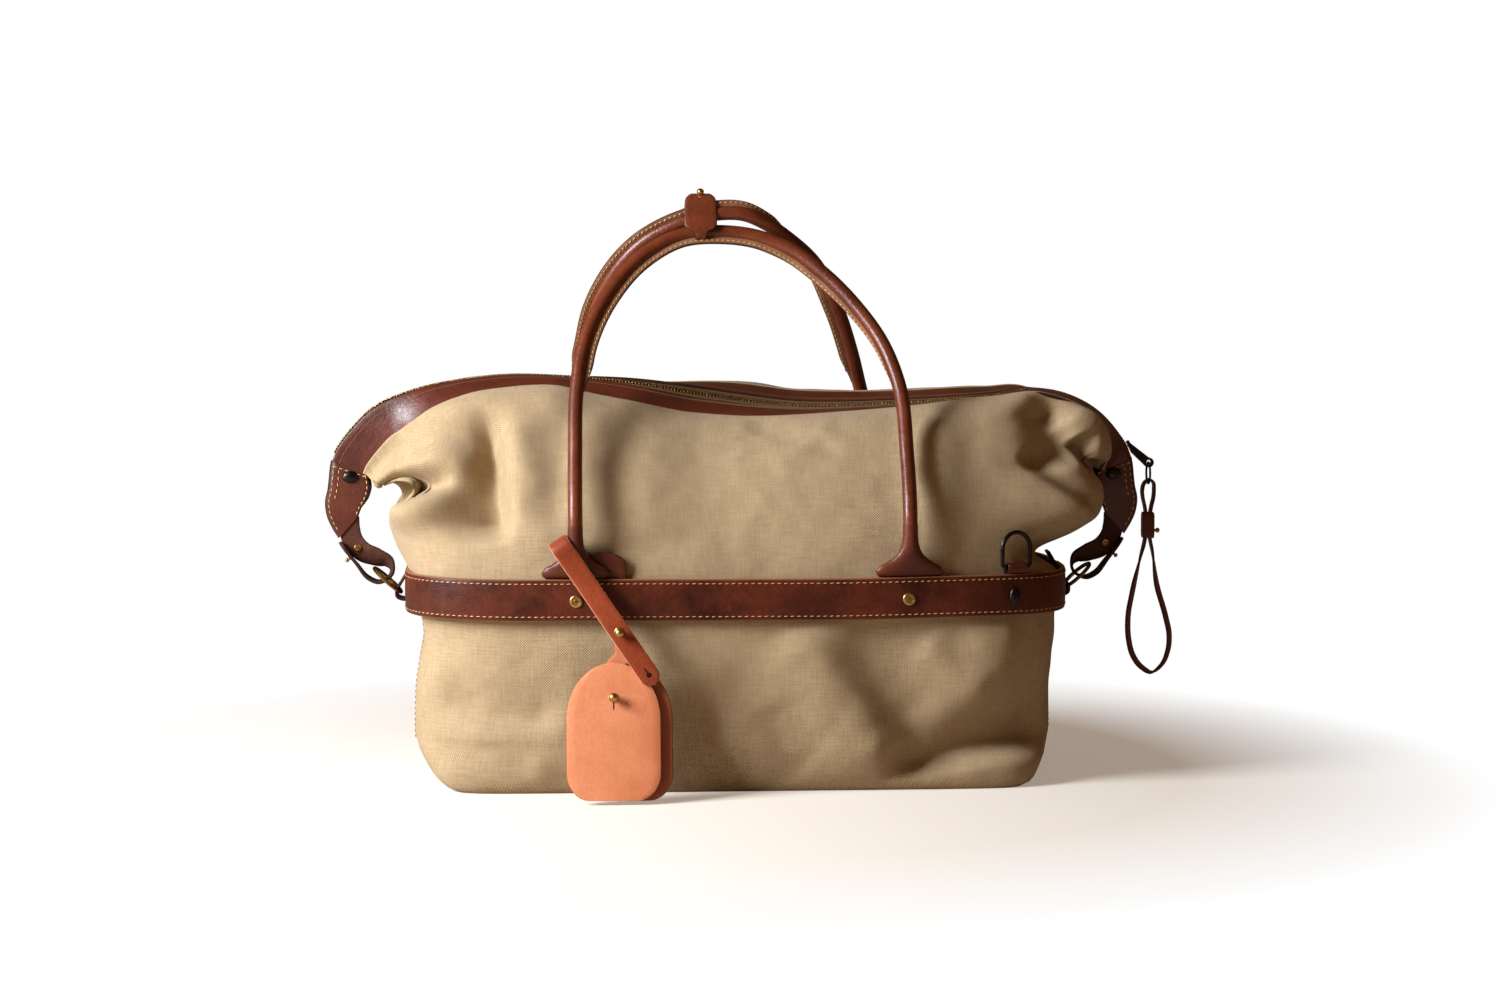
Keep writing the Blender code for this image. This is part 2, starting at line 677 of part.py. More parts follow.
def make_foot(name, hand, face):
    tail = GAP + FOOT_TAIL_THICKNESS / 2
    bulge = GAP + FOOT_THICKNESS / 2
    seat = BELT_TOP + GAP
    stub = BELT_TOP + FOOT_HINGE - HANDLE_RADIUS - GAP
    round_neck = 2 * HANDLE_RADIUS
    rings = [
        foot_ring(FOOT_TAIL_WIDTH, FOOT_TAIL_THICKNESS, tail, BELT_TOP - FOOT_TAIL_LENGTH, 8),
        foot_ring(FOOT_TAIL_WIDTH, FOOT_TAIL_THICKNESS, tail, seat, 8),
        foot_ring(FOOT_WIDTH, FOOT_THICKNESS, bulge, seat, 4),
        foot_ring(FOOT_WIDTH, FOOT_THICKNESS, bulge, seat + FOOT_FLARE, 3),
        foot_ring(FOOT_SHOULDER_WIDTH, FOOT_THICKNESS, (bulge + FOOT_NECK_OUT) / 2, seat + FOOT_SHOULDER, 2.4),
        foot_ring(round_neck, round_neck, FOOT_NECK_OUT, BELT_TOP + FOOT_NECK, 2),
        foot_ring(round_neck, round_neck, FOOT_NECK_OUT, stub, 2),
    ]
    place(loft(name, rings), leather, None, wall_frame(hand * HANDLE_X, face))


def hinge_point(hand, face):
    return wall_frame(hand * HANDLE_X, face) @ Vector((0, -FOOT_NECK_OUT, BELT_TOP + FOOT_HINGE))


def make_screw(name, x, face):
    under = BELT_THICKNESS + 2 * GAP
    profile = [(0.0, SCREW_HEAD_HEIGHT), (SCREW_HEAD - SCREW_CHAMFER, SCREW_HEAD_HEIGHT)]
    profile += [(SCREW_HEAD, SCREW_HEAD_HEIGHT - SCREW_CHAMFER), (SCREW_HEAD, 0.0), (SCREW_SHANK, 0.0), (SCREW_SHANK, -under), (0.0, -under)]
    place(turned(name, profile), brass, None, belt_face(x, face))


def handle_size(face):
    return HANDLE_SPRING + (BACK_HANDLE_RISE if face == BACK else 0.0)


def handle_lean(face):
    reach = abs(hinge_point(RIGHT, face).y) - HANDLE_APEX_OFFSET
    return math.asin(reach / (handle_size(face) + HANDLE_ARCH_HEIGHT))


# A handle stands in its own plane, hinged on X through the two leg ends, and leans over the bag.
def make_handle(name, face, carrier):
    half = abs(hinge_point(RIGHT, face).x)
    spring = handle_size(face)
    leg = [(-half, 0, z) for z in (0.0, spring / 3, spring * 2 / 3)]
    span = 28
    top = []
    for i in range(span + 1):
        a = math.pi - math.pi * i / span
        top.append((half * math.cos(a), 0, spring + HANDLE_ARCH_HEIGHT * math.sin(a)))
    caps = [math.radians(a) for a in (75, 50, 25)]
    ends = [(-half, 0, -HANDLE_RADIUS * math.sin(a)) for a in caps]
    points = ends + leg + top
    points += [(-x, y, z) for x, y, z in reversed(ends + leg)]
    thin = [math.cos(a) for a in caps]
    radii = thin + [1.0] * (len(points) - 2 * len(thin)) + thin[::-1]
    tube = wire(name, points, HANDLE_RADIUS, radii=radii)
    matrix = Matrix.Translation(carrier.location) @ Matrix.Rotation(face * handle_lean(face), 4, "X")
    place(tube, leather, carrier, matrix)


# The middle of a handle's tube where the keeper grips it, and the slope of the tube there.
def grip(face):
    half = abs(hinge_point(RIGHT, face).x)
    rise = math.sqrt(1 - (KEEPER_X / half) ** 2)
    height = handle_size(face) + HANDLE_ARCH_HEIGHT * rise
    lean = handle_lean(face)
    start = hinge_point(RIGHT, face)
    y = start.y - face * math.sin(lean) * height
    z = start.z + math.cos(lean) * height
    slope = -HANDLE_ARCH_HEIGHT * KEEPER_X / (half * half * rise) * math.cos(lean)
    return Vector((y, z)), slope


def keeper_half(name, near, far, matrix, carrier):
    inner = HANDLE_RADIUS + KEEPER_EASE
    outer = inner + KEEPER_THICKNESS
    along = far - near
    heading = math.atan2(along.y, along.x)
    reach = along.length / 2 - GAP
    outline = []
    for radius, turn in ((outer, 1), (inner, -1)):
        run = arc((0, 0), radius, heading + turn * math.pi / 2, heading + turn * math.pi * 1.5, 12)
        shift = Vector((math.cos(heading), math.sin(heading))) * reach
        first = Vector(run[0]) + shift
        last = Vector(run[-1]) + shift
        outline += [first] + [Vector(p) for p in run] + [last]
    outline = [p + near for p in outline]
    place(plate(name, outline, KEEPER_WIDTH), leather, carrier, matrix)


def make_keeper(front_carrier, back_carrier):
    front, slope = grip(FRONT)
    back, back_slope = grip(BACK)
    middle = (front + back) / 2
    tilt = math.atan((slope + back_slope) / 2)
    section = Matrix(((0, 0, 1, 0), (1, 0, 0, 0), (0, 1, 0, 0), (0, 0, 0, 1)))
    matrix = Matrix.Translation((KEEPER_X, middle.x, middle.y)) @ Matrix.Rotation(-tilt, 4, "Y") @ section
    keeper_half("keeper_flap", front - middle, back - middle, matrix, front_carrier)
    keeper_half("keeper_wrap", back - middle, front - middle, matrix, back_carrier)
    top = back - middle + Vector((0, HANDLE_RADIUS + KEEPER_EASE + KEEPER_THICKNESS + GAP))
    seat = matrix @ Vector((top.x, top.y, 0))
    stud("keeper_stud", aimed(seat, matrix.to_3x3() @ Vector((0, 1, 0))), brass, back_carrier)


def make_dring(side, face):
    x = -face * DRING_X
    frame = wall_frame(x, face)
    bar = Vector((0, -DRING_OUT, BELT_TOP + DRING_UP))
    carrier = pivot("dring_" + side + "_axis", frame @ bar)
    half = DRING_WIDTH / 2
    straight = DRING_HEIGHT - half
    inset = half - DRING_CORNER
    outline = [(-inset, 0, 0), (inset, 0, 0), (half, 0, DRING_CORNER)]
    outline += [(px, 0, pz + straight) for px, pz in arc((0, 0), half, 0.0, math.pi, 16)]
    outline.append((-half, 0, DRING_CORNER))
    ring = wire("dring_" + side, outline, DRING_WIRE, cyclic=True)
    place(ring, gunmetal, carrier, frame @ Matrix.Translation(bar))

    hole = DRING_WIRE + GAP
    shell = hole + DRING_CHAPE_THICKNESS
    tail = GAP + DRING_CHAPE_THICKNESS
    low = BELT_TOP - DRING_CHAPE_LENGTH
    rounded = arc((-DRING_OUT, BELT_TOP + DRING_UP), shell, -math.pi / 2 - 0.3, -math.pi * 2, 14)
    outline = [(-tail, low), (-tail, BELT_TOP + GAP)] + rounded + [(-GAP, low)]
    loop = plate("dring_chape_" + side, outline, DRING_CHAPE_WIDTH,
                 [circle((-DRING_OUT, BELT_TOP + DRING_UP), hole)])
    section = Matrix(((0, 0, 1, 0), (1, 0, 0, 0), (0, 1, 0, 0), (0, 0, 0, 1)))
    place(loop, leather, None, frame @ section)
    oval_rivet("dring_rivet_" + side, belt_face(x, face), DRING_RIVET_WIDTH, DRING_RIVET_HEIGHT,
               BELT_THICKNESS + 2 * GAP, False)


# The slider rides outside the teeth on the right wing, with a bail that hangs past its lower end.
def bail_point():
    out = Vector((math.cos(SLIDER_ANGLE), 0, math.sin(SLIDER_ANGLE)))
    down = Vector((out.z, 0, -out.x))
    centre = Vector((WING_CENTRE_X, 0, WING_CENTRE_Z)) + out * WING_RADIUS
    return centre + out * BAIL_OUT + down * BAIL_ALONG


def make_slider(carrier):
    half = SLIDER_LENGTH / 2
    top = SLIDER_LIFT + SLIDER_THICKNESS
    lobe = arc((BAIL_OUT, -BAIL_ALONG), BAIL_RADIUS, -math.pi * 0.95, math.pi * 0.35, 12)
    outline = [(SLIDER_LIFT, -half), *lobe, (top, half * 0.6), (top, half), (SLIDER_LIFT, half)]
    body = plate("zip_slider", outline, SLIDER_WIDTH, [circle((BAIL_OUT, -BAIL_ALONG), BAIL_HOLE, 16)])
    out = Matrix.Rotation(-SLIDER_ANGLE, 4, "Y")
    base = Matrix.Translation((WING_CENTRE_X, 0, WING_CENTRE_Z)) @ out @ Matrix.Translation((WING_RADIUS, 0, 0))
    place(body, gunmetal, carrier, base @ upright())


# Half the width of a drop-shaped loop at a share of its length, pointed at 0 and round at 1.
def drop(share, width):
    angle = math.pi * share
    widest = 4 / math.sqrt(27)
    return width / 2 * math.sin(angle) * math.sin(angle / 2) / widest


def make_pull(carrier):
    bail = bail_point()
    ring_centre = bail - Vector((0, 0, PULL_RING_RADIUS))
    angles = [math.tau * i / 24 for i in range(24)]
    loop = [Vector((0, math.cos(a), math.sin(a))) * PULL_RING_RADIUS + ring_centre for a in angles]
    place(wire("pull_ring", loop, PULL_RING_WIRE, cyclic=True), gunmetal, carrier)

    eye_top = ring_centre.z - PULL_RING_RADIUS + PULL_EYE_DROP
    neck_top = eye_top - PULL_EYE_LENGTH
    neck_end = neck_top - PULL_NECK_LENGTH
    right = []
    for i in range(10):
        share = 1 - i / 10
        fall = (1 + math.cos(math.pi * share)) / 2
        right.append((PULL_NECK * (1 - share) + drop(share, PULL_EYE_WIDTH), eye_top - PULL_EYE_LENGTH * fall))
    right += [(PULL_NECK, neck_top), (PULL_NECK, (neck_top + neck_end) / 2), (PULL_NECK, neck_end)]
    for i in range(1, 15):
        share = i / 14
        fall = (1 - math.cos(math.pi * share)) / 2
        right.append((PULL_NECK * (1 - share) + drop(share, PULL_LOOP_WIDTH), neck_end - PULL_LOOP_LENGTH * fall))
    left = [(-x, z) for x, z in reversed(right[1:-1])]
    path = [Vector((bail.x + x, 0, z)) for x, z in right + left]
    strap = ribbon("pull_strap", path, PULL_WIDTH, Vector((0, 1, 0)), PULL_THICKNESS, cyclic=True)
    place(strap, leather, carrier)

    room_x = PULL_NECK + PULL_THICKNESS / 2 + 2 * GAP
    room_y = PULL_WIDTH / 2 + GAP
    outer_x = room_x + PULL_KEEPER_WALL
    outer_y = room_y + PULL_KEEPER_WALL
    hole = [(-room_x, -room_y), (room_x, -room_y), (room_x, room_y), (-room_x, room_y)]
    rim = [(-outer_x, -outer_y), (outer_x, -outer_y), (outer_x, outer_y), (-outer_x, outer_y)]
    keeper = plate("pull_keeper", rim, PULL_KEEPER_HEIGHT, [hole])
    middle = Vector((bail.x, 0, (neck_top + neck_end) / 2))
    place(keeper, leather, carrier, Matrix.Translation(middle))
    stud("pull_stud", aimed(middle + Vector((outer_x + GAP, 0, 0)), (1, 0, 0)), brass, carrier)


def leaf_outline(shift):
    half = TAG_LEAF_WIDTH / 2
    side_top = TAG_LEAF_HEIGHT - TAG_LEAF_CROWN
    points = arc((half - TAG_LEAF_CORNER, TAG_LEAF_CORNER), TAG_LEAF_CORNER, -math.pi / 2, 0.0, 6)
    for i in range(13):
        a = math.pi * i / 12
        points.append((half * math.cos(a), side_top + TAG_LEAF_CROWN * math.sin(a)))
    points += arc((TAG_LEAF_CORNER - half, TAG_LEAF_CORNER), TAG_LEAF_CORNER, math.pi, math.pi * 1.5, 6)
    return [(x + shift, y) for x, y in points]


# Point of the tag's plane, a height up from its fold and a distance out of it.
def tag_point(height, out):
    y = TAG_FOOT_Y + height * math.sin(TAG_LEAN) - out * math.cos(TAG_LEAN)
    return Vector((TAG_X, y, TAG_FOOT_Z + height * math.cos(TAG_LEAN) + out * math.sin(TAG_LEAN)))


def make_leaf(name, shift, out, carrier):
    leaf = plate(name, leaf_outline(shift), TAG_LEAF_THICKNESS)
    matrix = Matrix.Translation(tag_point(0.0, out)) @ Matrix.Rotation(math.pi / 2 - TAG_LEAN, 4, "X")
    place(leaf, tag_leather, carrier, matrix)


def make_tag(tag_carrier, flap_carrier):
    front_out = TAG_LEAF_THICKNESS + TAG_SPACE
    make_leaf("tag_back_leaf", TAG_BACK_SHIFT, 0.0, tag_carrier)
    make_leaf("tag_front_leaf", 0.0, front_out, flap_carrier)
    normal = Vector((0, -math.cos(TAG_LEAN), math.sin(TAG_LEAN)))
    seat = tag_point(TAG_STUD_HEIGHT, front_out) + normal * (TAG_LEAF_THICKNESS / 2 + GAP)
    stud("tag_stud", aimed(seat, normal), brass, flap_carrier)

    # The strap comes from behind the leg, folds over on its left and hangs aslant in front of the belt.
    along = Vector((math.sin(TAG_STRAP_LEAN), 0, -math.cos(TAG_STRAP_LEAN)))
    across = Vector((math.cos(TAG_STRAP_LEAN), 0, math.sin(TAG_STRAP_LEAN)))
    fold = hinge_point(LEFT, FRONT)
    fold.x -= TAG_LOOP_SHIFT
    fold.z = TAG_LOOP_Z
    radius = HANDLE_RADIUS + TAG_STRAP_THICKNESS / 2 + TAG_STRAP_EASE
    front_y = fold.y - radius
    end_y = tag_point(TAG_STRAP_REST, front_out + TAG_LEAF_THICKNESS / 2 + 2 * GAP).y - TAG_STRAP_THICKNESS

    def hanging(reach):
        point = fold + along * reach
        point.y = front_y + (end_y - front_y) * ease(reach / TAG_STRAP_REACH)
        return point

    path = [fold + along * TAG_STRAP_TAIL + Vector((0, radius, 0))]
    for out, y in arc((0.0, fold.y), radius, math.pi / 2, -math.pi / 2, 12):
        point = fold - along * out
        point.y = y
        path.append(point)
    path += [hanging(TAG_STRAP_REACH * i / 10) for i in range(1, 11)]
    strap = ribbon("tag_strap", path, TAG_STRAP_WIDTH, across, TAG_STRAP_THICKNESS)
    place(strap, tag_leather)

    spot = hanging(TAG_STUD_REACH)
    seat = spot - Vector((0, TAG_STRAP_THICKNESS / 2 + 2 * GAP, 0))
    stud("tag_strap_stud", aimed(seat, (0, -1, 0)), brass, tag_carrier)

    lower = tag_point(TAG_LEAF_HEIGHT - HANGER_TUCK, front_out / 2)
    upper = tag_point(TAG_LEAF_HEIGHT + TAG_SPACE, front_out / 2)
    behind = (TAG_STRAP_THICKNESS + HANGER_THICKNESS) / 2 + HANGER_EASE
    head = Vector((TAG_X, spot.y + behind, spot.z))
    path = [lower, upper, (upper + head) / 2, head]
    hanger = ribbon("tag_hanger", path, HANGER_WIDTH, Vector((1, 0, 0)), HANGER_THICKNESS)
    place(hanger, tag_leather, tag_carrier)


def build():
    make_tub()
    lowest = WING_CENTRE_Z + (WING_RADIUS - FACING_WIDTH) * math.sin(WING_END_ANGLE)
    for side, face in (("front", FRONT), ("back", BACK)):
        make_belt("belt_" + side, face)
        make_mouth(side, face, pivot(side + "_mouth_axis", (0, face * FACING_INSET, lowest)))
        make_upper(side, face)
        make_dring(side, face)
        for name, hand in (("left", LEFT), ("right", RIGHT)):
            make_foot("handle_foot_" + side + "_" + name, hand, face)
            make_screw("belt_screw_" + side + "_" + name, hand * HANDLE_X, face)
    for name, hand in (("left", LEFT), ("right", RIGHT)):
        make_tab(name, hand)
        make_side(name, hand)
    hinge = hinge_point(RIGHT, FRONT)
    front_hinge = pivot("front_handle_axis", (0, hinge.y, hinge.z))
    back_hinge = pivot("back_handle_axis", (0, -hinge.y, hinge.z))
    make_handle("front_handle", FRONT, front_hinge)
    make_handle("back_handle", BACK, back_hinge)
    make_keeper(front_hinge, back_hinge)
    make_slider(pivot("zip_slider_axis", (WING_CENTRE_X, 0, WING_CENTRE_Z)))
    make_pull(pivot("zip_pull_axis", bail_point()))
    tag_hinge = pivot("tag_axis", (hinge_point(LEFT, FRONT).x, hinge.y, TAG_LOOP_Z))
    flap_hinge = pivot("tag_flap_axis", tag_point(0.0, (TAG_LEAF_THICKNESS + TAG_SPACE) / 2))
    make_tag(tag_hinge, flap_hinge)
    bpy.context.view_layer.update()


build()
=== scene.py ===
import math

import bmesh
import bpy
import numpy as np
from mathutils import Matrix, Vector, noise


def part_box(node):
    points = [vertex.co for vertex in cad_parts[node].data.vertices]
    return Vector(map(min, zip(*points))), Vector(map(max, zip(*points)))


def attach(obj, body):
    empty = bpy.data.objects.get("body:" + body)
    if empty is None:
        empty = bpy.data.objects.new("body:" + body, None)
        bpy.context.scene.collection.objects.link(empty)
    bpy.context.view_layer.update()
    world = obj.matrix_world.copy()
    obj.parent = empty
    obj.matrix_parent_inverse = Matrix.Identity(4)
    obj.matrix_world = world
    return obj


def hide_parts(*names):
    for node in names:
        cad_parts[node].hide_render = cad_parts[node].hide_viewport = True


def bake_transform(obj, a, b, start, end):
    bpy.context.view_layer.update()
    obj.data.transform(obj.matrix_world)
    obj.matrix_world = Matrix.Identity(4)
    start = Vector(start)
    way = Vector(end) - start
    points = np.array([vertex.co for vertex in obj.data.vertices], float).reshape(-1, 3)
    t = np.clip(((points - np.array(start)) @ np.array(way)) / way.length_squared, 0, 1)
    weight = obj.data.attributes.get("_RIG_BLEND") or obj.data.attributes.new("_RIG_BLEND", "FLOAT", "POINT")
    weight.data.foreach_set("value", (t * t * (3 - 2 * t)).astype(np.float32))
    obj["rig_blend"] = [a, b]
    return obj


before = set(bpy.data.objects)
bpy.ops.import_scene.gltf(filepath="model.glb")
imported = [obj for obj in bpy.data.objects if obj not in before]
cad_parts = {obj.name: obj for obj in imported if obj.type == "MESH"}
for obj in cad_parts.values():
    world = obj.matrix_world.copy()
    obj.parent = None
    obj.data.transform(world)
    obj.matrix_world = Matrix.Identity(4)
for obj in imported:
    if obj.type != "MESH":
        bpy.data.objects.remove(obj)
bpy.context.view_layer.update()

scene = bpy.context.scene
scene.view_settings.view_transform = "Standard"
sides = ((-1, "front"), (1, "back"))
hands = ((-1, "left"), (1, "right"))
xWay, zWay = np.array((1.0, 0.0, 0.0)), np.array((0.0, 0.0, 1.0))

# camera, a little left of the bag and just above its middle
camera = {"azimuth": -3.6, "elevation": 5.0, "distance": 2.6, "aim": (0.0126, 0.0, 0.2166),
          "lens": 78.4, "film": 36, "picture": (1500, 1000)}
turn, tilt = math.radians(camera["azimuth"]), math.radians(camera["elevation"])
backWay = Vector((math.sin(turn) * math.cos(tilt), -math.cos(turn) * math.cos(tilt), math.sin(tilt)))
eye = Vector(camera["aim"]) + backWay * camera["distance"]
cameraObject = bpy.data.objects.new("camera", bpy.data.cameras.new("camera"))
cameraObject.data.lens = camera["lens"]
cameraObject.location = eye
cameraObject.rotation_euler = backWay.to_track_quat("Z", "Y").to_euler()
scene.collection.objects.link(cameraObject)
scene.camera = cameraObject
print("camera placed")


def columns(*parts):  # arrays and single values side by side
    return np.stack(np.broadcast_arrays(*parts), axis=1)


def inPicture(points):  # where points of the bag fall in the picture, in pixels
    away = points - np.array(eye)
    right = np.array((math.cos(turn), math.sin(turn), 0.0))
    up = np.cross(np.array(backWay), right)
    wide, tall = camera["picture"]
    scale = camera["lens"] / camera["film"] * wide / -(away @ np.array(backWay))
    return columns(wide / 2 + (away @ right) * scale, tall / 2 - (away @ up) * scale)


def unit(rows):
    return rows / np.maximum(np.linalg.norm(rows, axis=-1, keepdims=True), 1e-12)


def squareTo(along, way):  # the part of a direction that is square to a line
    return unit(way - along * (way * along).sum(axis=1)[:, None])


def ease(t):
    t = np.clip(t, 0, 1)
    return t * t * (3 - 2 * t)


def roundEnd(left, radius, least):  # share of the full width near a rounded end
    return np.sqrt(np.clip(1 - np.clip(1 - left / radius, 0, 1) ** 2, least, 1))


def hermite(s, step, start, end, startSlope, endSlope):  # smooth way from one value to the next
    first = (2 * s**3 - 3 * s**2 + 1) * start + (s**3 - 2 * s**2 + s) * step * startSlope
    return first + ((3 * s**2 - 2 * s**3) * end + (s**3 - s**2) * step * endSlope)


def runOf(line):  # distance along a line at each of its points
    return np.concatenate(([0], np.cumsum(np.linalg.norm(np.diff(line, axis=0), axis=1))))


def lineLength(line):
    return float(runOf(line)[-1])


def evenLine(line, count, rows=None):
    # evenly spaced points on a line, or rows of values that go with its points
    run = runOf(line)
    even = np.linspace(0, run[-1], count)
    rows = line if rows is None else rows
    return columns(*(np.interp(even, run, column) for column in rows.T))


def smoothLine(points, count):  # evenly spaced points on a smooth line through a few
    p = np.asarray(points, float)
    run = runOf(p)
    slope = np.gradient(p, run, axis=0)
    fine = np.linspace(0, run[-1], 60 * len(p))
    k = np.clip(np.searchsorted(run, fine, side="right") - 1, 0, len(p) - 2)
    step = (run[k + 1] - run[k])[:, None]
    s = (fine - run[k])[:, None] / step
    return evenLine(hermite(s, step, p[k], p[k + 1], slope[k], slope[k + 1]), count)


def smoothRows(rows, weight, count):  # smooth rows whose last value counts less in their spacing
    scale = np.array((1, 1, 1, 1, weight))
    return smoothLine(np.array(rows) * scale, count) / scale


def tangents(line):
    return unit(np.gradient(line, axis=0))


def fromTable(x, table):  # smooth value from a list of pairs
    at, value = np.array(table, float).T
    slope = np.gradient(value, at)
    k = np.clip(np.searchsorted(at, x, side="right") - 1, 0, len(at) - 2)
    step = at[k + 1] - at[k]
    s = np.clip((x - at[k]) / step, 0, 1)
    return hermite(s, step, value[k], value[k + 1], slope[k], slope[k + 1])


def ripples(points, size, seed):  # soft random waves
    shift = Vector((seed, seed * 0.7, seed * 1.3))
    return np.array([noise.noise(Vector(p) / size + shift) for p in points])


def newMesh():
    bm = bmesh.new()
    bm.verts.layers.float.new("edge")
    bm.verts.layers.float_vector.new("cloth")
    return bm


def sweep(bm, centres, sideways, upright, sections, edges=None, closed=False):
    # strap or tube: one section after another along a line, ends closed
    sideways, upright = (np.broadcast_to(way, centres.shape) for way in (sideways, upright))
    rings, count = len(centres), len(sections[0])
    rows = rings if closed else rings - 1
    edgeLayer = bm.verts.layers.float["edge"]
    made = bmesh.ops.create_grid(bm, x_segments=count, y_segments=rows, size=0.5)["verts"]
    for vert in made:
        col = round((vert.co.x + 0.5) * count) % count
        row = round((vert.co.y + 0.5) * rows) % rings
        a, b = sections[row][col]
        vert.co = centres[row] + sideways[row] * a + upright[row] * b
        vert[edgeLayer] = 0.0 if edges is None else edges[row][col]
    bmesh.ops.remove_doubles(bm, verts=made, dist=1e-7)
    if not closed:
        bmesh.ops.holes_fill(bm, edges=[e for e in bm.edges if e.is_boundary], sides=0)


def stripSection(width, thick, crown=0.0, steps=6):
    # flat strap section with rounded corners, and how near each point is to the cut edge
    c = min(0.32 * thick, 0.3 * width)  # corner radius
    across = np.linspace(-width / 2 + c, width / 2 - c, steps + 1)
    lift = crown * (1 - (2 * across / width) ** 2)
    half = math.sqrt(0.5)
    a, b = width / 2 - c + c * half, thick / 2 - c + c * half
    right = [(a, -b), (width / 2, c - thick / 2), (width / 2, thick / 2 - c), (a, b)]
    points = [(a, -thick / 2) for a in across] + right
    points += [(a, thick / 2 + up) for a, up in zip(across[::-1], lift[::-1])]
    points += [(-a, b) for a, b in right[::-1]]
    edge = [1.0 if abs(a) > width / 2 - 0.8 * c else 0.0 for a, b in points]
    return np.array(points), edge


def ovalSection(width, depth, power, count=32):
    a = np.arange(count) / count * 2 * math.pi
    c, s = np.cos(a), np.sin(a)
    return columns(width / 2 * np.sign(c) * np.abs(c) ** (2 / power),
                   depth / 2 * np.sign(s) * np.abs(s) ** (2 / power))


def tubeFrame(line, hint):  # sideways and upright along a line that turns in one plane
    along = tangents(line)
    upright = squareTo(along, np.array(hint))
    return np.cross(along, upright), upright


def facingMatrix(spot, outward, upward=(0, 0, 1)):  # local Z points outward, local Y upward
    z = Vector(outward).normalized()
    x = Vector(upward).cross(z).normalized()
    place = Matrix((x, z.cross(x), z)).transposed().to_4x4()
    place.translation = Vector(spot)
    return place


def lathe(bm, profile, place, steps=32):  # turned work: radius and height pairs in mm
    verts = [bm.verts.new((r / 1000, 0, h / 1000)) for r, h in profile]
    edges = [bm.edges.new(pair) for pair in zip(verts[:-1], verts[1:])]
    old = set(bm.verts) - set(verts)
    bmesh.ops.spin(bm, geom=verts + edges, cent=(0, 0, 0), axis=(0, 0, 1), angle=2 * math.pi,
                   steps=steps, use_merge=True)
    bmesh.ops.remove_doubles(bm, verts=[v for v in bm.verts if v not in old], dist=1e-7)
    bmesh.ops.transform(bm, matrix=place, verts=[v for v in bm.verts if v not in old])


def sewRow(bm, line, outward, pitch=0.0044, long=0.0031, wide=0.00085, high=0.0006, slant=0.10):
    # a row of single stitches that lie on the leather
    count = max(2, int(lineLength(line) / pitch))
    spots = evenLine(line, count + 1)
    outs = unit(evenLine(line, count + 1, np.broadcast_to(outward, line.shape)))
    for spot, out, way in zip(spots, outs, tangents(spots)):
        x = Vector(way + slant * np.cross(out, way)).normalized()
        z = (Vector(out) - x * Vector(out).dot(x)).normalized()
        place = Matrix((x * long, z.cross(x) * wide, z * high)).transposed().to_4x4()
        place.translation = Vector(spot)
        bmesh.ops.create_uvsphere(bm, u_segments=6, v_segments=4, radius=0.5, matrix=place)


def finishPiece(bm, name, material, slotName, nodes=(), body=None, closed=True, sharp=45):
    if closed:
        bmesh.ops.recalc_face_normals(bm, faces=bm.faces[:])
    mesh = bpy.data.meshes.new(name)
    bm.to_mesh(mesh)
    bm.free()
    mesh.polygons.foreach_set("use_smooth", np.ones(len(mesh.polygons), bool))
    mesh.set_sharp_from_angle(angle=math.radians(sharp))
    mesh.materials.append(material)
    piece = bpy.data.objects.new(name, mesh)
    scene.collection.objects.link(piece)
    if nodes:
        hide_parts(*nodes)
    if body:
        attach(piece, body)
    return piece


def strapPiece(finish, line, sideways, upright, width, thick, crown=0.0, steps=6):
    # finish: name, material, slot (not used), nodes and body
    bm = newMesh()
    widths, thicks = (np.broadcast_to(size, len(line)) for size in (width, thick))
    sections = [stripSection(w, t, crown, steps) for w, t in zip(widths, thicks)]
    sweep(bm, line, sideways, upright, [s[0] for s in sections], [s[1] for s in sections])
    return finishPiece(bm, *finish)


def sewnPiece(finish, rows, **size):  # rows of stitches, each a line and its outward direction
    bm = newMesh()
    for line, outward in rows:
        sewRow(bm, line, outward, **size)
    return finishPiece(bm, *finish)


def tint(r, g, b):  # colour as read off a screen, 0 to 255
    return tuple(((c / 255 + 0.055) / 1.055) ** 2.4 if c > 10 else c / 3294 for c in (r, g, b)) + (1.0,)


def addNode(tree, kind, inputs, **settings):
    made = tree.nodes.new(kind)
    for key, value in settings.items():
        setattr(made, key, value)
    for key, value in inputs.items():
        if isinstance(value, bpy.types.NodeSocket):
            tree.links.new(value, made.inputs[key])
        else:
            made.inputs[key].default_value = value
    return made


def calc(tree, operation, *values):
    return addNode(tree, "ShaderNodeMath", dict(enumerate(values)), operation=operation).outputs[0]


def spread(tree, value, low, high, a=0.0, b=1.0):
    return addNode(tree, "ShaderNodeMapRange", {0: value, 1: low, 2: high, 3: a, 4: b}, clamp=True).outputs[0]


def blendColor(tree, factor, a, b, way="MIX"):
    inputs = {0: factor, 6: a, 7: b}
    return addNode(tree, "ShaderNodeMix", inputs, data_type="RGBA", blend_type=way).outputs[2]


def noiseOf(tree, vector, scale, detail=3.0, rough=0.55, gives="Fac"):
    inputs = {"Vector": vector, "Scale": scale, "Detail": detail, "Roughness": rough}
    return addNode(tree, "ShaderNodeTexNoise", inputs).outputs[gives]


def objectSpot(tree):
    return tree.nodes.new("ShaderNodeTexCoord").outputs["Object"]


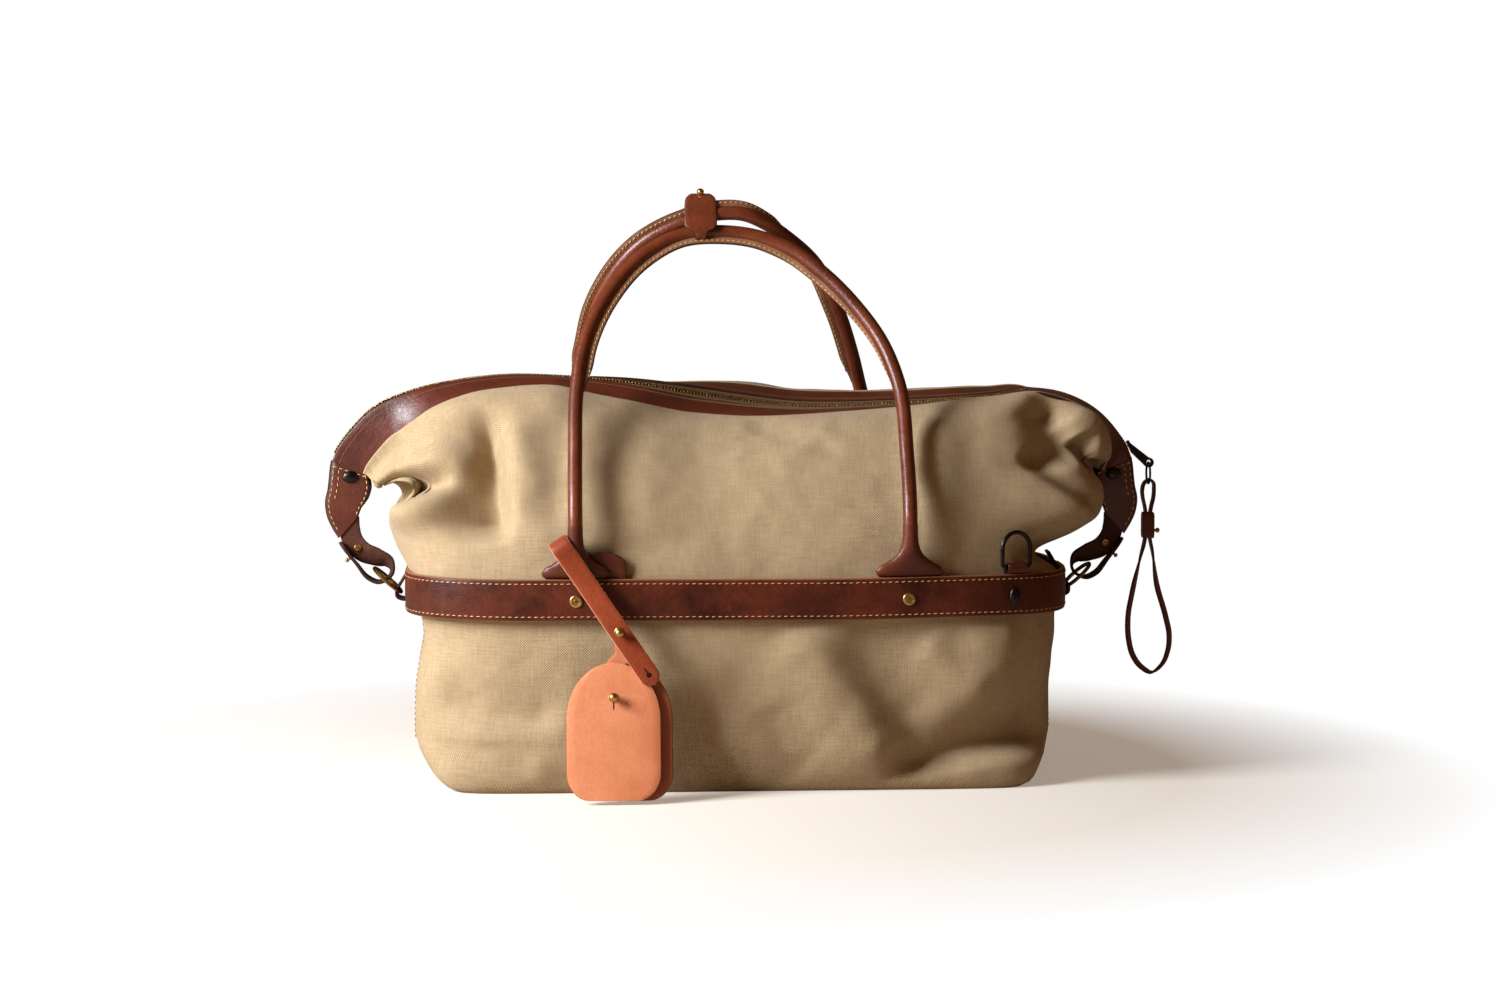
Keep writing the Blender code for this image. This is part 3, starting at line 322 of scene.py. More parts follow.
def newGroup(name, numbers, colors):  # every group gives a colour, a roughness and a height
    group = bpy.data.node_groups.new(name, "ShaderNodeTree")
    for kind, values in (("NodeSocketFloat", numbers), ("NodeSocketColor", colors)):
        for label, value in values.items():
            group.interface.new_socket(label, in_out="INPUT", socket_type=kind).default_value = value
    for label in ("Color", "Roughness", "Height"):
        kind = "NodeSocketColor" if label == "Color" else "NodeSocketFloat"
        group.interface.new_socket(label, in_out="OUTPUT", socket_type=kind)
    return group, group.nodes.new("NodeGroupInput").outputs, group.nodes.new("NodeGroupOutput").inputs


# canvas weave on the cloth's own metres: two sets of threads, slubs and soft staining
weave, take, give = newGroup("canvasWeave", {"Threads": 560.0, "Stain": 0.5},
                             {"Light": (1, 1, 1, 1), "Dark": (0, 0, 0, 1)})
cloth = addNode(weave, "ShaderNodeAttribute", {}, attribute_name="cloth").outputs["Vector"]
metres = addNode(weave, "ShaderNodeSeparateXYZ", {0: cloth}).outputs
wobble = calc(weave, "MULTIPLY", noiseOf(weave, cloth, 240.0, 2.0), 0.9)
counts = [calc(weave, "MULTIPLY", metres[k], take["Threads"]) for k in (0, 1)]
angleA, angleB = (calc(weave, "MULTIPLY_ADD", count, 2 * math.pi, wobble) for count in counts)
warpWeft = calc(weave, "MULTIPLY", calc(weave, "SINE", angleA), calc(weave, "SINE", angleB))
over = calc(weave, "MULTIPLY_ADD", warpWeft, 0.5, 0.5)
twill = calc(weave, "MULTIPLY_ADD", calc(weave, "SINE", calc(weave, "ADD", angleA, angleB)), 0.5, 0.5)
threads = calc(weave, "MULTIPLY_ADD", over, 0.65, calc(weave, "MULTIPLY", twill, 0.35))
slubA, slubB = (addNode(weave, "ShaderNodeMapping", {"Vector": cloth, "Scale": scale}).outputs[0]
                for scale in ((700.0, 60.0, 1.0), (60.0, 700.0, 1.0)))
slub = calc(weave, "ADD", noiseOf(weave, slubA, 1.0, 2.0), noiseOf(weave, slubB, 1.0, 2.0))
stain = spread(weave, noiseOf(weave, objectSpot(weave), 9.0, 5.0, 0.6), 0.35, 0.75)
stain = calc(weave, "MULTIPLY", stain, take["Stain"])
fibre = calc(weave, "MULTIPLY", threads, 0.72)
fibre = calc(weave, "MULTIPLY_ADD", spread(weave, slub, 0.7, 1.3), 0.28, fibre)
woven = blendColor(weave, fibre, take["Dark"], take["Light"])
stained = blendColor(weave, 1.0, woven, (0.72, 0.66, 0.58, 1), "MULTIPLY")
weave.links.new(blendColor(weave, stain, woven, stained), give["Color"])
weave.links.new(spread(weave, slub, 0.6, 1.4, 0.95, 0.78), give["Roughness"])
weave.links.new(calc(weave, "MULTIPLY_ADD", slub, 0.25, threads), give["Height"])

# leather: pores, fine creases, cloudy dye, darker rubbed edges
hide, take, give = newGroup(
    "leatherGrain", {"Grain": 900.0, "Cloud": 0.6, "Shine": 0.38},
    {"Color": (0.2, 0.06, 0.03, 1), "Dark": (0.05, 0.02, 0.01, 1), "Light": (0.3, 0.1, 0.05, 1),
     "Edge": (0.05, 0.02, 0.01, 1)})
solid = objectSpot(hide)
drift = noiseOf(hide, solid, 90.0, 2.0, 0.5, "Color")
drift = addNode(hide, "ShaderNodeVectorMath", {0: drift, 3: 0.004}, operation="SCALE").outputs[0]
bent = addNode(hide, "ShaderNodeVectorMath", {0: solid, 1: drift}, operation="ADD").outputs[0]
pore = addNode(hide, "ShaderNodeTexVoronoi", {"Vector": bent, "Scale": take["Grain"]}, feature="SMOOTH_F1")
crease = addNode(hide, "ShaderNodeTexVoronoi", {"Vector": bent, "Scale": 210.0}, feature="DISTANCE_TO_EDGE")
cracks = spread(hide, crease.outputs["Distance"], 0.0, 0.09)
big = noiseOf(hide, solid, 22.0, 6.0, 0.62)
fine = noiseOf(hide, solid, 160.0, 4.0, 0.6)
cloud = spread(hide, calc(hide, "MULTIPLY_ADD", fine, 0.35, big), 0.45, 0.9)
cloud = calc(hide, "MULTIPLY", cloud, take["Cloud"])
dyed = blendColor(hide, spread(hide, big, 0.40, 0.62), take["Dark"], take["Color"])
dyed = blendColor(hide, calc(hide, "MULTIPLY_ADD", take["Cloud"], -1.0, 1.0), dyed, take["Color"])
dyed = blendColor(hide, calc(hide, "MULTIPLY", cloud, 0.8), dyed, take["Light"])
dyed = blendColor(hide, calc(hide, "MULTIPLY_ADD", cracks, -0.25, 0.25), dyed, take["Dark"])
rim = addNode(hide, "ShaderNodeAttribute", {}, attribute_name="edge").outputs["Fac"]
hide.links.new(blendColor(hide, spread(hide, rim, 0.35, 0.9), dyed, take["Edge"]), give["Color"])
sheen = calc(hide, "MULTIPLY_ADD", fine, 0.3, -0.12)
hide.links.new(calc(hide, "ADD", take["Shine"], sheen), give["Roughness"])
grainy = calc(hide, "MULTIPLY_ADD", pore.outputs["Distance"], 0.5, calc(hide, "MULTIPLY", cracks, 0.5))
hide.links.new(calc(hide, "MULTIPLY_ADD", fine, 0.6, grainy), give["Height"])

# metal and thread: rubbed bright over darker tarnish
patina, take, give = newGroup("metalPatina", {"Age": 0.5},
                              {"Bright": (0.6, 0.42, 0.2, 1), "Tarnish": (0.12, 0.08, 0.04, 1)})
solid = objectSpot(patina)
dull = spread(patina, noiseOf(patina, solid, 320.0, 5.0, 0.65), 0.35, 0.7)
dull = calc(patina, "MULTIPLY", dull, take["Age"])
patina.links.new(blendColor(patina, dull, take["Bright"], take["Tarnish"]), give["Color"])
patina.links.new(spread(patina, dull, 0.0, 1.0, 0.24, 0.55), give["Roughness"])
patina.links.new(noiseOf(patina, solid, 1400.0, 2.0), give["Height"])


def emptyTree(owner):
    owner.use_nodes = True
    owner.node_tree.nodes.clear()
    return owner.node_tree


def newMaterial(name, group, values, bump, deep, shader):
    made = bpy.data.materials.new(name)
    tree = emptyTree(made)
    surface = addNode(tree, "ShaderNodeBsdfPrincipled", shader)
    effect = addNode(tree, "ShaderNodeGroup", values, node_tree=group).outputs
    relief = addNode(tree, "ShaderNodeBump", {"Strength": bump, "Distance": deep, "Height": effect["Height"]})
    tree.links.new(effect["Color"], surface.inputs["Base Color"])
    tree.links.new(effect["Roughness"], surface.inputs["Roughness"])
    tree.links.new(relief.outputs[0], surface.inputs["Normal"])
    tree.links.new(surface.outputs[0], tree.nodes.new("ShaderNodeOutputMaterial").inputs[0])
    return made


def fabric(name, light, dark, threads, stain, bump, deep, sheen):
    values = {"Threads": threads, "Light": tint(*light), "Dark": tint(*dark), "Stain": stain}
    return newMaterial(name, weave, values, bump, deep, {"Sheen Weight": sheen})


def leather(name, color, dark, light, edge, grain=900.0, cloud=0.6, shine=0.34, coat=0.10, bump=0.35,
            gloss=0.2):
    values = {"Color": tint(*color), "Dark": tint(*dark), "Light": tint(*light), "Edge": tint(*edge),
              "Grain": grain, "Cloud": cloud, "Shine": shine}
    shader = {"Coat Weight": coat, "Coat Roughness": 0.22, "Specular IOR Level": gloss}
    return newMaterial(name, hide, values, bump, 0.0004, shader)


def aged(name, bright, tarnish, age, bump, deep, shader):
    values = {"Bright": tint(*bright), "Tarnish": tint(*tarnish), "Age": age}
    return newMaterial(name, patina, values, bump, deep, shader)


def metal(name, bright, tarnish, age):
    return aged(name, bright, tarnish, age, 0.15, 0.0002, {"Metallic": 1.0})


def sewingThread(name, bright, tarnish):
    return aged(name, bright, tarnish, 0.7, 0.4, 0.0003, {"Sheen Weight": 0.1})


canvasCloth = fabric("canvasCloth", (195, 173, 136), (130, 98, 60), 520.0, 0.35, 0.6, 0.0006, 0.08)
zipTape = fabric("zipTape", (118, 88, 58), (78, 56, 36), 1100.0, 0.4, 0.4, 0.0003, 0.0)
saddleLeather = leather("saddleLeather", (90, 38, 23), (56, 23, 14), (122, 58, 36), (44, 20, 14))
facingLeather = leather("facingLeather", (80, 31, 18), (52, 20, 12), (112, 50, 30), (44, 19, 12),
                        shine=0.40, coat=0.06, gloss=0.4)
beltLeather = leather("beltLeather", (66, 22, 11), (42, 15, 8), (116, 52, 31), (140, 86, 62),
                      cloud=0.72, shine=0.40, coat=0.0, gloss=0.18)
handleLeather = leather("handleLeather", (98, 42, 22), (64, 26, 14), (130, 62, 34), (48, 21, 13),
                        shine=0.32, coat=0.12, gloss=0.3)
footLeather = leather("footLeather", (90, 38, 22), (58, 24, 14), (122, 58, 35), (42, 19, 12),
                      shine=0.36, coat=0.05, gloss=0.25)
# painted shade: near-black leather for flat spots that stand in for the shade inside the slits and the
# buttonhole
slitShadeLeather = leather("slitShadeLeather", (42, 18, 11), (28, 12, 8), (58, 26, 16), (30, 14, 9),
                      coat=0.0, gloss=0.1)
tagLeather = leather("tagLeather", (214, 132, 90), (194, 108, 66), (228, 152, 112), (150, 76, 48),
                     cloud=0.55, shine=0.5, coat=0.05, bump=0.2)
tagStrapLeather = leather("tagStrapLeather", (134, 56, 30), (106, 42, 22), (164, 78, 46), (206, 146, 116),
                          cloud=0.5, shine=0.42, coat=0.04, gloss=0.14)
# painted shade: a darker copy of the tag leather for the rear leaf, standing in for the shade between the two
# leaves
tagRearShadedLeather = leather("tagRearShadedLeather", (158, 86, 56), (128, 64, 40), (184, 108, 74), (112, 54, 34),
                         cloud=0.4, shine=0.55, coat=0.0, bump=0.2)
pullLeather = leather("pullLeather", (96, 36, 19), (64, 24, 13), (124, 54, 31), (74, 28, 15), coat=0.05)
suedeLeather = leather("suedeLeather", (68, 36, 25), (44, 24, 17), (92, 52, 37), (50, 28, 20),
                       grain=1500.0, cloud=0.8, shine=0.75, coat=0.0)
weltLeather = leather("weltLeather", (132, 88, 60), (100, 64, 43), (156, 112, 80), (84, 50, 34),
                      grain=1500.0, cloud=0.7, shine=0.6, coat=0.05)
goldThread = sewingThread("goldThread", (216, 174, 112), (164, 118, 70))
brownThread = sewingThread("brownThread", (150, 104, 66), (100, 66, 42))
agedBrass = metal("agedBrass", (206, 170, 104), (104, 78, 42), 0.75)
toothBrass = metal("toothBrass", (172, 138, 84), (84, 62, 36), 0.8)
ringBrass = metal("ringBrass", (150, 112, 64), (70, 50, 30), 0.8)
gunmetal = metal("gunmetal", (58, 52, 49), (26, 22, 20), 0.7)
boardFibre = aged("boardFibre", (120, 96, 70), (86, 66, 46), 0.8, 0.3, 0.0004, {})
print("materials made")

# floor, backdrop and light: one broad window on the left
studio = {"key": 68.0, "keySize": (0.6, 0.75), "keySpot": (-1.46, -0.70, 0.88), "keyAim": (0, 0, 0.2),
          "keyColor": (0.93, 0.99, 1.06), "fill": 0.14, "fillColor": (1.0, 0.50, 0.20, 1), "floorSize": 12.0,
          "floorGlow": 0.30, "glowColor": (1.0, 0.89, 0.78, 1), "bounce": (0.56, 0.47, 0.38, 1),
          "floorColor": (0.64, 0.59, 0.53, 1), "clear": (0.36, 0.60)}
floorMesh = bmesh.new()
bmesh.ops.create_grid(floorMesh, x_segments=1, y_segments=1, size=studio["floorSize"])
floorData = bpy.data.meshes.new("floor")
floorMesh.to_mesh(floorData)
floorMesh.free()
floor = bpy.data.objects.new("floor", floorData)
scene.collection.objects.link(floor)
paper = bpy.data.materials.new("paper")
tree = emptyTree(paper)
seen = tree.nodes.new("ShaderNodeLightPath").outputs["Is Camera Ray"]
glowLevel = calc(tree, "MULTIPLY", seen, studio["floorGlow"])
glow = addNode(tree, "ShaderNodeEmission", {"Color": studio["glowColor"], "Strength": glowLevel})
shade = blendColor(tree, seen, studio["bounce"], studio["floorColor"])  # paler to the camera than to the bag
matte = addNode(tree, "ShaderNodeBsdfDiffuse", {"Color": shade})
both = addNode(tree, "ShaderNodeAddShader", {0: glow.outputs[0], 1: matte.outputs[0]})
reach = addNode(tree, "ShaderNodeVectorMath", {0: objectSpot(tree)}, operation="LENGTH").outputs["Value"]
plain = calc(tree, "MULTIPLY", spread(tree, reach, *studio["clear"]), seen)  # white further off
white = addNode(tree, "ShaderNodeEmission", {"Strength": 1.0})
mixed = addNode(tree, "ShaderNodeMixShader", {0: plain, 1: both.outputs[0], 2: white.outputs[0]})
tree.links.new(mixed.outputs[0], tree.nodes.new("ShaderNodeOutputMaterial").inputs[0])
floorData.materials.append(paper)
world = bpy.data.worlds.new("studio")
tree = emptyTree(world)
rays = tree.nodes.new("ShaderNodeLightPath").outputs
seen = calc(tree, "MAXIMUM", rays["Is Camera Ray"], rays["Is Transmission Ray"])
level = calc(tree, "MULTIPLY_ADD", seen, 1.0 - studio["fill"], studio["fill"])
hue = blendColor(tree, seen, studio["fillColor"], (1, 1, 1, 1))
air = addNode(tree, "ShaderNodeBackground", {"Color": hue, "Strength": level})
tree.links.new(air.outputs[0], tree.nodes.new("ShaderNodeOutputWorld").inputs[0])
scene.world = world
keyLamp = bpy.data.lights.new("window", "AREA")
keyLamp.shape = "RECTANGLE"
keyLamp.size, keyLamp.size_y = studio["keySize"]
keyLamp.energy = studio["key"]
keyLamp.color = studio["keyColor"]
keyObject = bpy.data.objects.new("window", keyLamp)
keyObject.location = studio["keySpot"]
keyWay = Vector(studio["keySpot"]) - Vector(studio["keyAim"])
keyObject.rotation_euler = keyWay.to_track_quat("Z", "Y").to_euler()
scene.collection.objects.link(keyObject)
print("floor and light set")


# the bag's wall: a rounded box ring
wall = {"long": 0.505, "deep": 0.226, "power": 4.0, "baseLong": 0.440, "baseDeep": 0.200, "basePower": 14.0,
        "swell": 0.036, "slope": 0.45}


def ringPoint(angle, long, deep, power):
    c, s = np.cos(angle), np.sin(angle)
    reach = (np.abs(c) ** power + np.abs(s) ** power) ** (-1 / power)
    return long / 2 * c * reach, deep / 2 * s * reach


def ringOut(x, y, long, deep, power):  # outward direction of the ring
    nx = np.sign(x) * np.abs(2 * x / long) ** (power - 1) / long
    ny = np.sign(y) * np.abs(2 * y / deep) ** (power - 1) / deep
    return unit(columns(nx, ny, 0.0))


def wallLine(a, off):  # points and outward directions on the wall, a little off it
    x, y = ringPoint(a, wall["long"] + 2 * off, wall["deep"] + 2 * off, wall["power"])
    return x, y, ringOut(x, y, wall["long"], wall["deep"], wall["power"])


def ringAngles(count, start, stop, off=0.0):  # angles of evenly spaced points on the wall, and the way round
    a = np.linspace(start, stop, 2400)
    run = runOf(columns(*wallLine(a, off)[:2]))
    return np.interp(np.linspace(0, run[-1], count), run, a), run[-1]


def wallAt(x, side, off=0.0):  # point on the wall, its outward and its sideways direction
    a, b, power = wall["long"] / 2 + off, wall["deep"] / 2 + off, wall["power"]
    y = b * (1 - abs(x / a) ** power) ** (1 / power)
    out = unit(np.array((x**3 / a**4, side * y**3 / b**4, 0.0)))
    return np.array((x, side * y, 0.0)), out, np.cross(zWay, out)


def awayFrom(spots, line):
    # distance from a traced line, positive on its upper or right side, and share along it
    line = np.array(line, float)
    total, run = lineLength(line), 0.0
    best, side, share = np.full(len(spots), 1e9), np.zeros(len(spots)), np.zeros(len(spots))
    for a, b in zip(line[:-1], line[1:]):
        step = b - a
        long = np.linalg.norm(step)
        t = np.clip(((spots - a) @ step) / long**2, 0, 1)
        gap = spots - (a + t[:, None] * step)
        far = np.linalg.norm(gap, axis=1)
        nearer = far < best
        best = np.where(nearer, far, best)
        side = np.where(nearer, -np.sign(step[0] * gap[:, 1] - step[1] * gap[:, 0]), side)
        share = np.where(nearer, (run + t * long) / total, share)
        run += long
    return best * side, share


def foldSum(spots, folds):
    # each fold: line in the picture, height in mm, width on its left or lower and on its right or upper side
    total = np.zeros(len(spots))
    for line, high, before, after in folds:
        far, share = awayFrom(spots, smoothLine(line, 24))
        fade = ease(share / 0.22) * ease((1 - share) / 0.22)
        total += high / 1000 * np.exp(-((far / np.where(far < 0, before, after)) ** 2)) * fade
    return total


def clothPiece(name, node, size, place, measure):
    bm = newMesh()
    made = bmesh.ops.create_grid(bm, x_segments=size["across"], y_segments=size["along"], size=0.5)["verts"]
    flat = np.array([v.co for v in made]) + 0.5
    clothLayer = bm.verts.layers.float_vector["cloth"]
    for vert, spot, metre in zip(made, place(flat[:, 0], flat[:, 1]), measure(flat[:, 0], flat[:, 1])):
        vert.co = spot
        vert[clothLayer] = (metre[0], metre[1], 0.0)
    bmesh.ops.remove_doubles(bm, verts=made, dist=1e-6)
    baseEdges = [e for e in bm.edges if e.is_boundary and max(v.co.z for v in e.verts) < 0.001]
    bmesh.ops.holes_fill(bm, edges=baseEdges, sides=0)
    piece = finishPiece(bm, name, canvasCloth, "canvas", [node], closed=False, sharp=180)
    wadding = piece.modifiers.new("cloth", "SOLIDIFY")
    wadding.thickness = size["thick"]
    wadding.offset = -1
    return piece


# lower canvas: a tub with boxed base corners, dented and creased
tub = {"across": 420, "along": 88, "thick": 0.0020, "base": 0.10, "top": 0.159, "hub": 0.02, "rear": 0.8,
       "held": 0.150, "heldFade": 0.030, "footFade": 0.014, "leftWaist": (0.006, 0.117, 0.022),
       "rightWaist": (0.0045, 0.125, 0.05), "endFrom": 0.25,
       "waves": ((0.0016, 0.055, 3.1), (0.0007, 0.018, 8.4))}
lowerFolds = [
    ([(424, 700), (490, 715), (566, 728)], -6.5, 13, 26),
    ([(410, 746), (482, 740), (570, 730)], 2.5, 14, 14),
    ([(424, 748), (478, 757), (544, 768)], -3.5, 13, 15),
    ([(436, 630), (456, 676), (476, 716)], -1.5, 10, 22),
    ([(792, 616), (834, 684), (876, 728), (904, 772)], 6.0, 46, 22),
    ([(866, 600), (876, 660), (890, 700), (908, 742)], -6.5, 26, 50),
    ([(915, 640), (948, 666), (992, 694)], 3.0, 16, 20),
    ([(1003, 600), (997, 680), (952, 726), (886, 776)], 7.0, 34, 16),
    ([(876, 768), (962, 752), (1084, 730)], -23.0, 13, 42),
    ([(700, 640), (690, 700), (705, 770)], 2.0, 40, 40),
    ([(770, 700), (790, 740), (820, 770)], -2.0, 24, 30),
]
lowerAngle, lowerRound = ringAngles(tub["across"] + 1, math.pi / 2, math.pi * 5 / 2)
lowerShare = np.linspace(0, 1, len(lowerAngle))


def lowerShape(u, v):
    angle = np.interp(u, lowerShare, lowerAngle)
    run = v * (tub["base"] + tub["top"])
    inward = tub["hub"] + (1 - tub["hub"]) * np.clip(run / tub["base"], 0, 1)
    z = np.clip(run - tub["base"], 0, None)
    share = np.minimum(z / wall["swell"], 1)
    swell = wall["slope"] * share + (1 - wall["slope"]) * np.sqrt(1 - (1 - share) ** 2)
    names = zip(("baseLong", "baseDeep", "basePower"), ("long", "deep", "power"))
    long, deep, power = (wall[base] + (wall[full] - wall[base]) * swell for base, full in names)
    x, y = ringPoint(angle, long, deep, power)
    out = ringOut(x, y, long, deep, power)
    spots = columns(x * inward, y * inward, z)
    high = sum(tall * ripples(spots, size, seed) for tall, size, seed in tub["waves"])
    for way, strength in ((1, 1.0), (-1, tub["rear"])):  # the front's folds, and the same turned to the back
        facing = ease(-way * out[:, 1] * 1.6 - 0.05)
        high += foldSum(inPicture(spots * np.array((way, way, 1))), lowerFolds) * strength * facing
    held = ease((tub["held"] - z) / tub["heldFade"]) * ease(z / tub["footFade"])
    leftEnd, rightEnd = (np.clip(way * x / tub["endFrom"], 0, 1) ** 6 for way in (-1, 1))
    depth, middle, reach = tub["leftWaist"]  # both ends draw in under the belt
    waist = depth * np.exp(-(((z - middle) / reach) ** 2)) * leftEnd
    depth, top, reach = tub["rightWaist"]
    waist += depth * ease((top - z) / reach) * ease(z / tub["footFade"]) * rightEnd
    return spots + out * (high * held - waist)[:, None]


def lowerMetres(u, v):
    return columns(u * lowerRound, v * (tub["base"] + tub["top"]))


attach(clothPiece("lowerCanvas", "canvas_body", tub, lowerShape, lowerMetres), "bag")
seamRows = []
for angle in (math.pi * 1.085, math.pi * 1.915):
    row = lowerShape(np.full(80, np.interp(angle, lowerAngle, lowerShare)), np.linspace(0.52, 0.86, 80))
    outer = np.sign(row[0, 0])
    seamRows.append((row + 0.0003 * outer * xWay, (outer, -0.15, 0.0)))
sewnPiece(("sideSeams", brownThread, "canvas", (), "bag"), seamRows)
print("lower canvas made")

# mouth line along the zip, each facing's tilt in degrees along x, and how far the zip's front edge sinks
mouth = {"width": 0.030, "thick": 0.0026, "inset": 0.0068, "count": 300, "crown": 0.0006, "seam": 0.0034,
         "lift": 0.0004, "bend": (0.23897, 0.285)}
mouthPoints = [(-0.3173, 0.2497), (-0.3140, 0.2575), (-0.3095, 0.2645), (-0.3015, 0.2745), (-0.2867, 0.2894),
               (-0.2554, 0.3039), (-0.2202, 0.3120), (-0.1793, 0.3163), (-0.1345, 0.3152), (-0.0792, 0.3126),
               (-0.0280, 0.3059), (0.0109, 0.2996), (0.0497, 0.2948), (0.0878, 0.2941), (0.1242, 0.2951),
               (0.1679, 0.2968), (0.2043, 0.2996), (0.2372, 0.3041), (0.2636, 0.3001), (0.2892, 0.2870),
               (0.3061, 0.2693), (0.3140, 0.2575), (0.3173, 0.2497)]
frontTilt = [(-0.3173, 90), (-0.300, 84), (-0.2867, 80), (-0.276, 76), (-0.265, 63), (-0.2466, 44),
             (-0.216, 27), (-0.179, 20), (-0.1345, 16), (-0.12, 21), (-0.066, 28), (0.007, 20), (0.05, 9),
             (0.125, 2), (0.2043, -3), (0.237, 3), (0.262, 9), (0.285, 12), (0.300, 20), (0.309, 36),
             (0.3145, 56), (0.3173, 76)]
backTilt = [(-0.3173, 90), (-0.300, 84), (-0.2867, 78), (-0.265, 60), (-0.2466, 44), (-0.216, 33),
            (-0.1345, 28), (-0.066, 8), (0.007, -14), (0.05, -14), (0.125, -11), (0.2043, -8), (0.237, 2),
            (0.262, 26), (0.285, 62), (0.302, 84), (0.3173, 90)]
zipSink = [(-0.3173, 0), (-0.14, 0), (-0.08, 0.0045), (-0.035, 0.0080), (0.0, 0.0074), (0.05, 0.0056),
           (0.10, 0.0042), (0.15, 0.0032), (0.20, 0.0018), (0.238, 0), (0.3173, 0)]
mouthLine = smoothLine(mouthPoints, mouth["count"])
mouthX, mouthZ = mouthLine.T
alongX, alongZ = tangents(mouthLine).T
mouthShare = np.linspace(0, 1, mouth["count"])
mouthOut, mouthWay = columns(-alongZ, 0.0, alongX), columns(alongX, 0.0, alongZ)
sink = np.clip(fromTable(mouthX, zipSink), 0, None)


def mouthRow(side, tiltTable):  # zip edge, way down the facing, and its outer face
    edge = columns(mouthX, side * mouth["inset"], mouthZ - (sink if side < 0 else 0))
    angle = np.radians(fromTable(mouthX, tiltTable))[:, None]
    down = unit(np.cos(angle) * np.array((0, side, 0)) - np.sin(angle) * mouthOut)
    return edge, down, unit(np.cross(mouthWay, down) * -side)


def alongMouth(share, *tables):  # rows of each table at shares of the mouth's length
    return [columns(*(np.interp(share, mouthShare, column) for column in rows.T)) for rows in tables]


def bendWithMouth(piece, side, word):
    low, high = ((0, side * mouth["inset"], z) for z in mouth["bend"])
    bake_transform(piece, "bag", word + "_mouth", low, high)


mouthRows = {-1: mouthRow(-1, frontTilt), 1: mouthRow(1, backTilt)}

# upper canvas: from behind the belt to the facing, with a tucked pocket under each wing
upper = {"across": 340, "along": 88, "thick": 0.0018, "foot": 0.150, "footOff": 0.0004, "rise": 0.060,
         "crown": 0.042, "bulge": 0.020, "lap": 0.004, "under": 0.0018, "high": 0.20, "rear": 0.75,
         "lip": 0.009, "lipDrop": -0.004, "pocket": 0.030, "clear": 0.001,
         "waves": ((0.0016, 0.050, 5.2), (0.0007, 0.017, 2.4))}
upperFolds = [
    ([(480, 400), (486, 470), (493, 548)], -34.0, 38, 17),
    ([(486, 408), (455, 462), (414, 538)], 14.0, 26, 17),
    ([(500, 414), (512, 490), (522, 576)], 2.5, 12, 42),
    ([(563, 394), (556, 470), (551, 536)], -5.5, 30, 18),
    ([(506, 418), (524, 458), (543, 500)], 2.0, 12, 16),
    ([(657, 410), (652, 480), (648, 552)], 3.0, 26, 34),
    ([(742, 418), (790, 438), (846, 452)], -2.0, 9, 13),
    ([(768, 470), (800, 448), (838, 418)], 1.6, 11, 11),
    ([(705, 425), (722, 500), (716, 565)], -1.2, 30, 30),
    ([(935, 410), (940, 480), (932, 552)], 5.0, 28, 24),
    ([(1042, 384), (1060, 425), (1070, 470)], -18.0, 34, 13),
    ([(1054, 428), (1080, 416), (1104, 424)], 5.0, 10, 9),
    ([(1022, 446), (1052, 480), (1082, 514)], -9.0, 9, 14),
    ([(1081, 432), (1091, 455), (1099, 480)], -18.0, 9, 9),
]
upperBellies = [  # middle and reach in the picture, push in mm
    ((418, 510), (34, 34), (-15, -4, 0)),
    ((1062, 500), (40, 26), (24, -6, -4)),
    ((1060, 551), (30, 15), (-24, 5, 0)),
]
leftTuck = [(362, 494), (385, 482), (405, 470), (431, 463), (464, 452)]


def upperShape(side):
    edge, down, face = mouthRows[side]
    footAngle, footRound = ringAngles(mouth["count"], -math.pi, 0)
    mirror = np.array((1, -side, 1))
    seam = edge + down * (mouth["width"] - upper["lap"])

    def base(u, v):
        share = u if side < 0 else 1 - u
        head, way, out = alongMouth(share, seam, down, face)
        head = head - out * upper["under"]
        angle = np.interp(share, mouthShare, footAngle)
        x, y = wallLine(angle, upper["footOff"])[:2]
        foot = columns(x, y * -side, upper["foot"])
        rise = foot + columns(upper["bulge"] * np.cos(angle) ** 7, 0.0, upper["rise"])
        crown = head + unit(way) * upper["crown"]
        t = v[:, None]
        return (1 - t) ** 3 * foot + 3 * t * (1 - t) ** 2 * rise + 3 * t**2 * (1 - t) * crown + t**3 * head

    def shape(u, v):
        spots = base(u, v)
        step = 1e-3
        du = base(np.clip(u + step, 0, 1), v) - base(np.clip(u - step, 0, 1), v)
        dv = base(u, np.clip(v + step, 0, 1)) - base(u, np.clip(v - step, 0, 1))
        out = unit(np.cross(du, dv))
        picture = inPicture(spots * mirror)
        high = foldSum(picture, upperFolds) * (1.0 if side < 0 else upper["rear"])
        high += sum(tall * ripples(spots, size, seed + side) for tall, size, seed in upper["waves"])
        move = out * (high * ease(v / 0.18) * ease((1 - v) / 0.10))[:, None]
        for centre, reach, push in upperBellies:
            near = (picture - np.array(centre)) / np.array(reach)
            strength = np.exp(-(near**2).sum(axis=1)) * ease(v / 0.15) * ease((1 - v) / 0.15)
            move += np.array(push) / 1000 * mirror * strength[:, None]
        far, share = awayFrom(picture, smoothLine(leftTuck, 30))
        fade = ease((1 - share) / 0.45) * ease((1 - v) / 0.12)
        lip = (np.exp(-(((far - 5) / 11) ** 2)) * fade)[:, None]
        pocket = (np.exp(-(((far + 17) / 16) ** 2)) * fade)[:, None]
        move += out * (upper["lip"] * lip - upper["pocket"] * pocket) + zWay * upper["lipDrop"] * lip
        moved = spots + move
        moved[:, 1] = side * np.maximum(side * moved[:, 1], upper["clear"])
        return moved

    def measure(u, v):
        return columns(u * footRound, v * upper["high"])

    return shape, measure


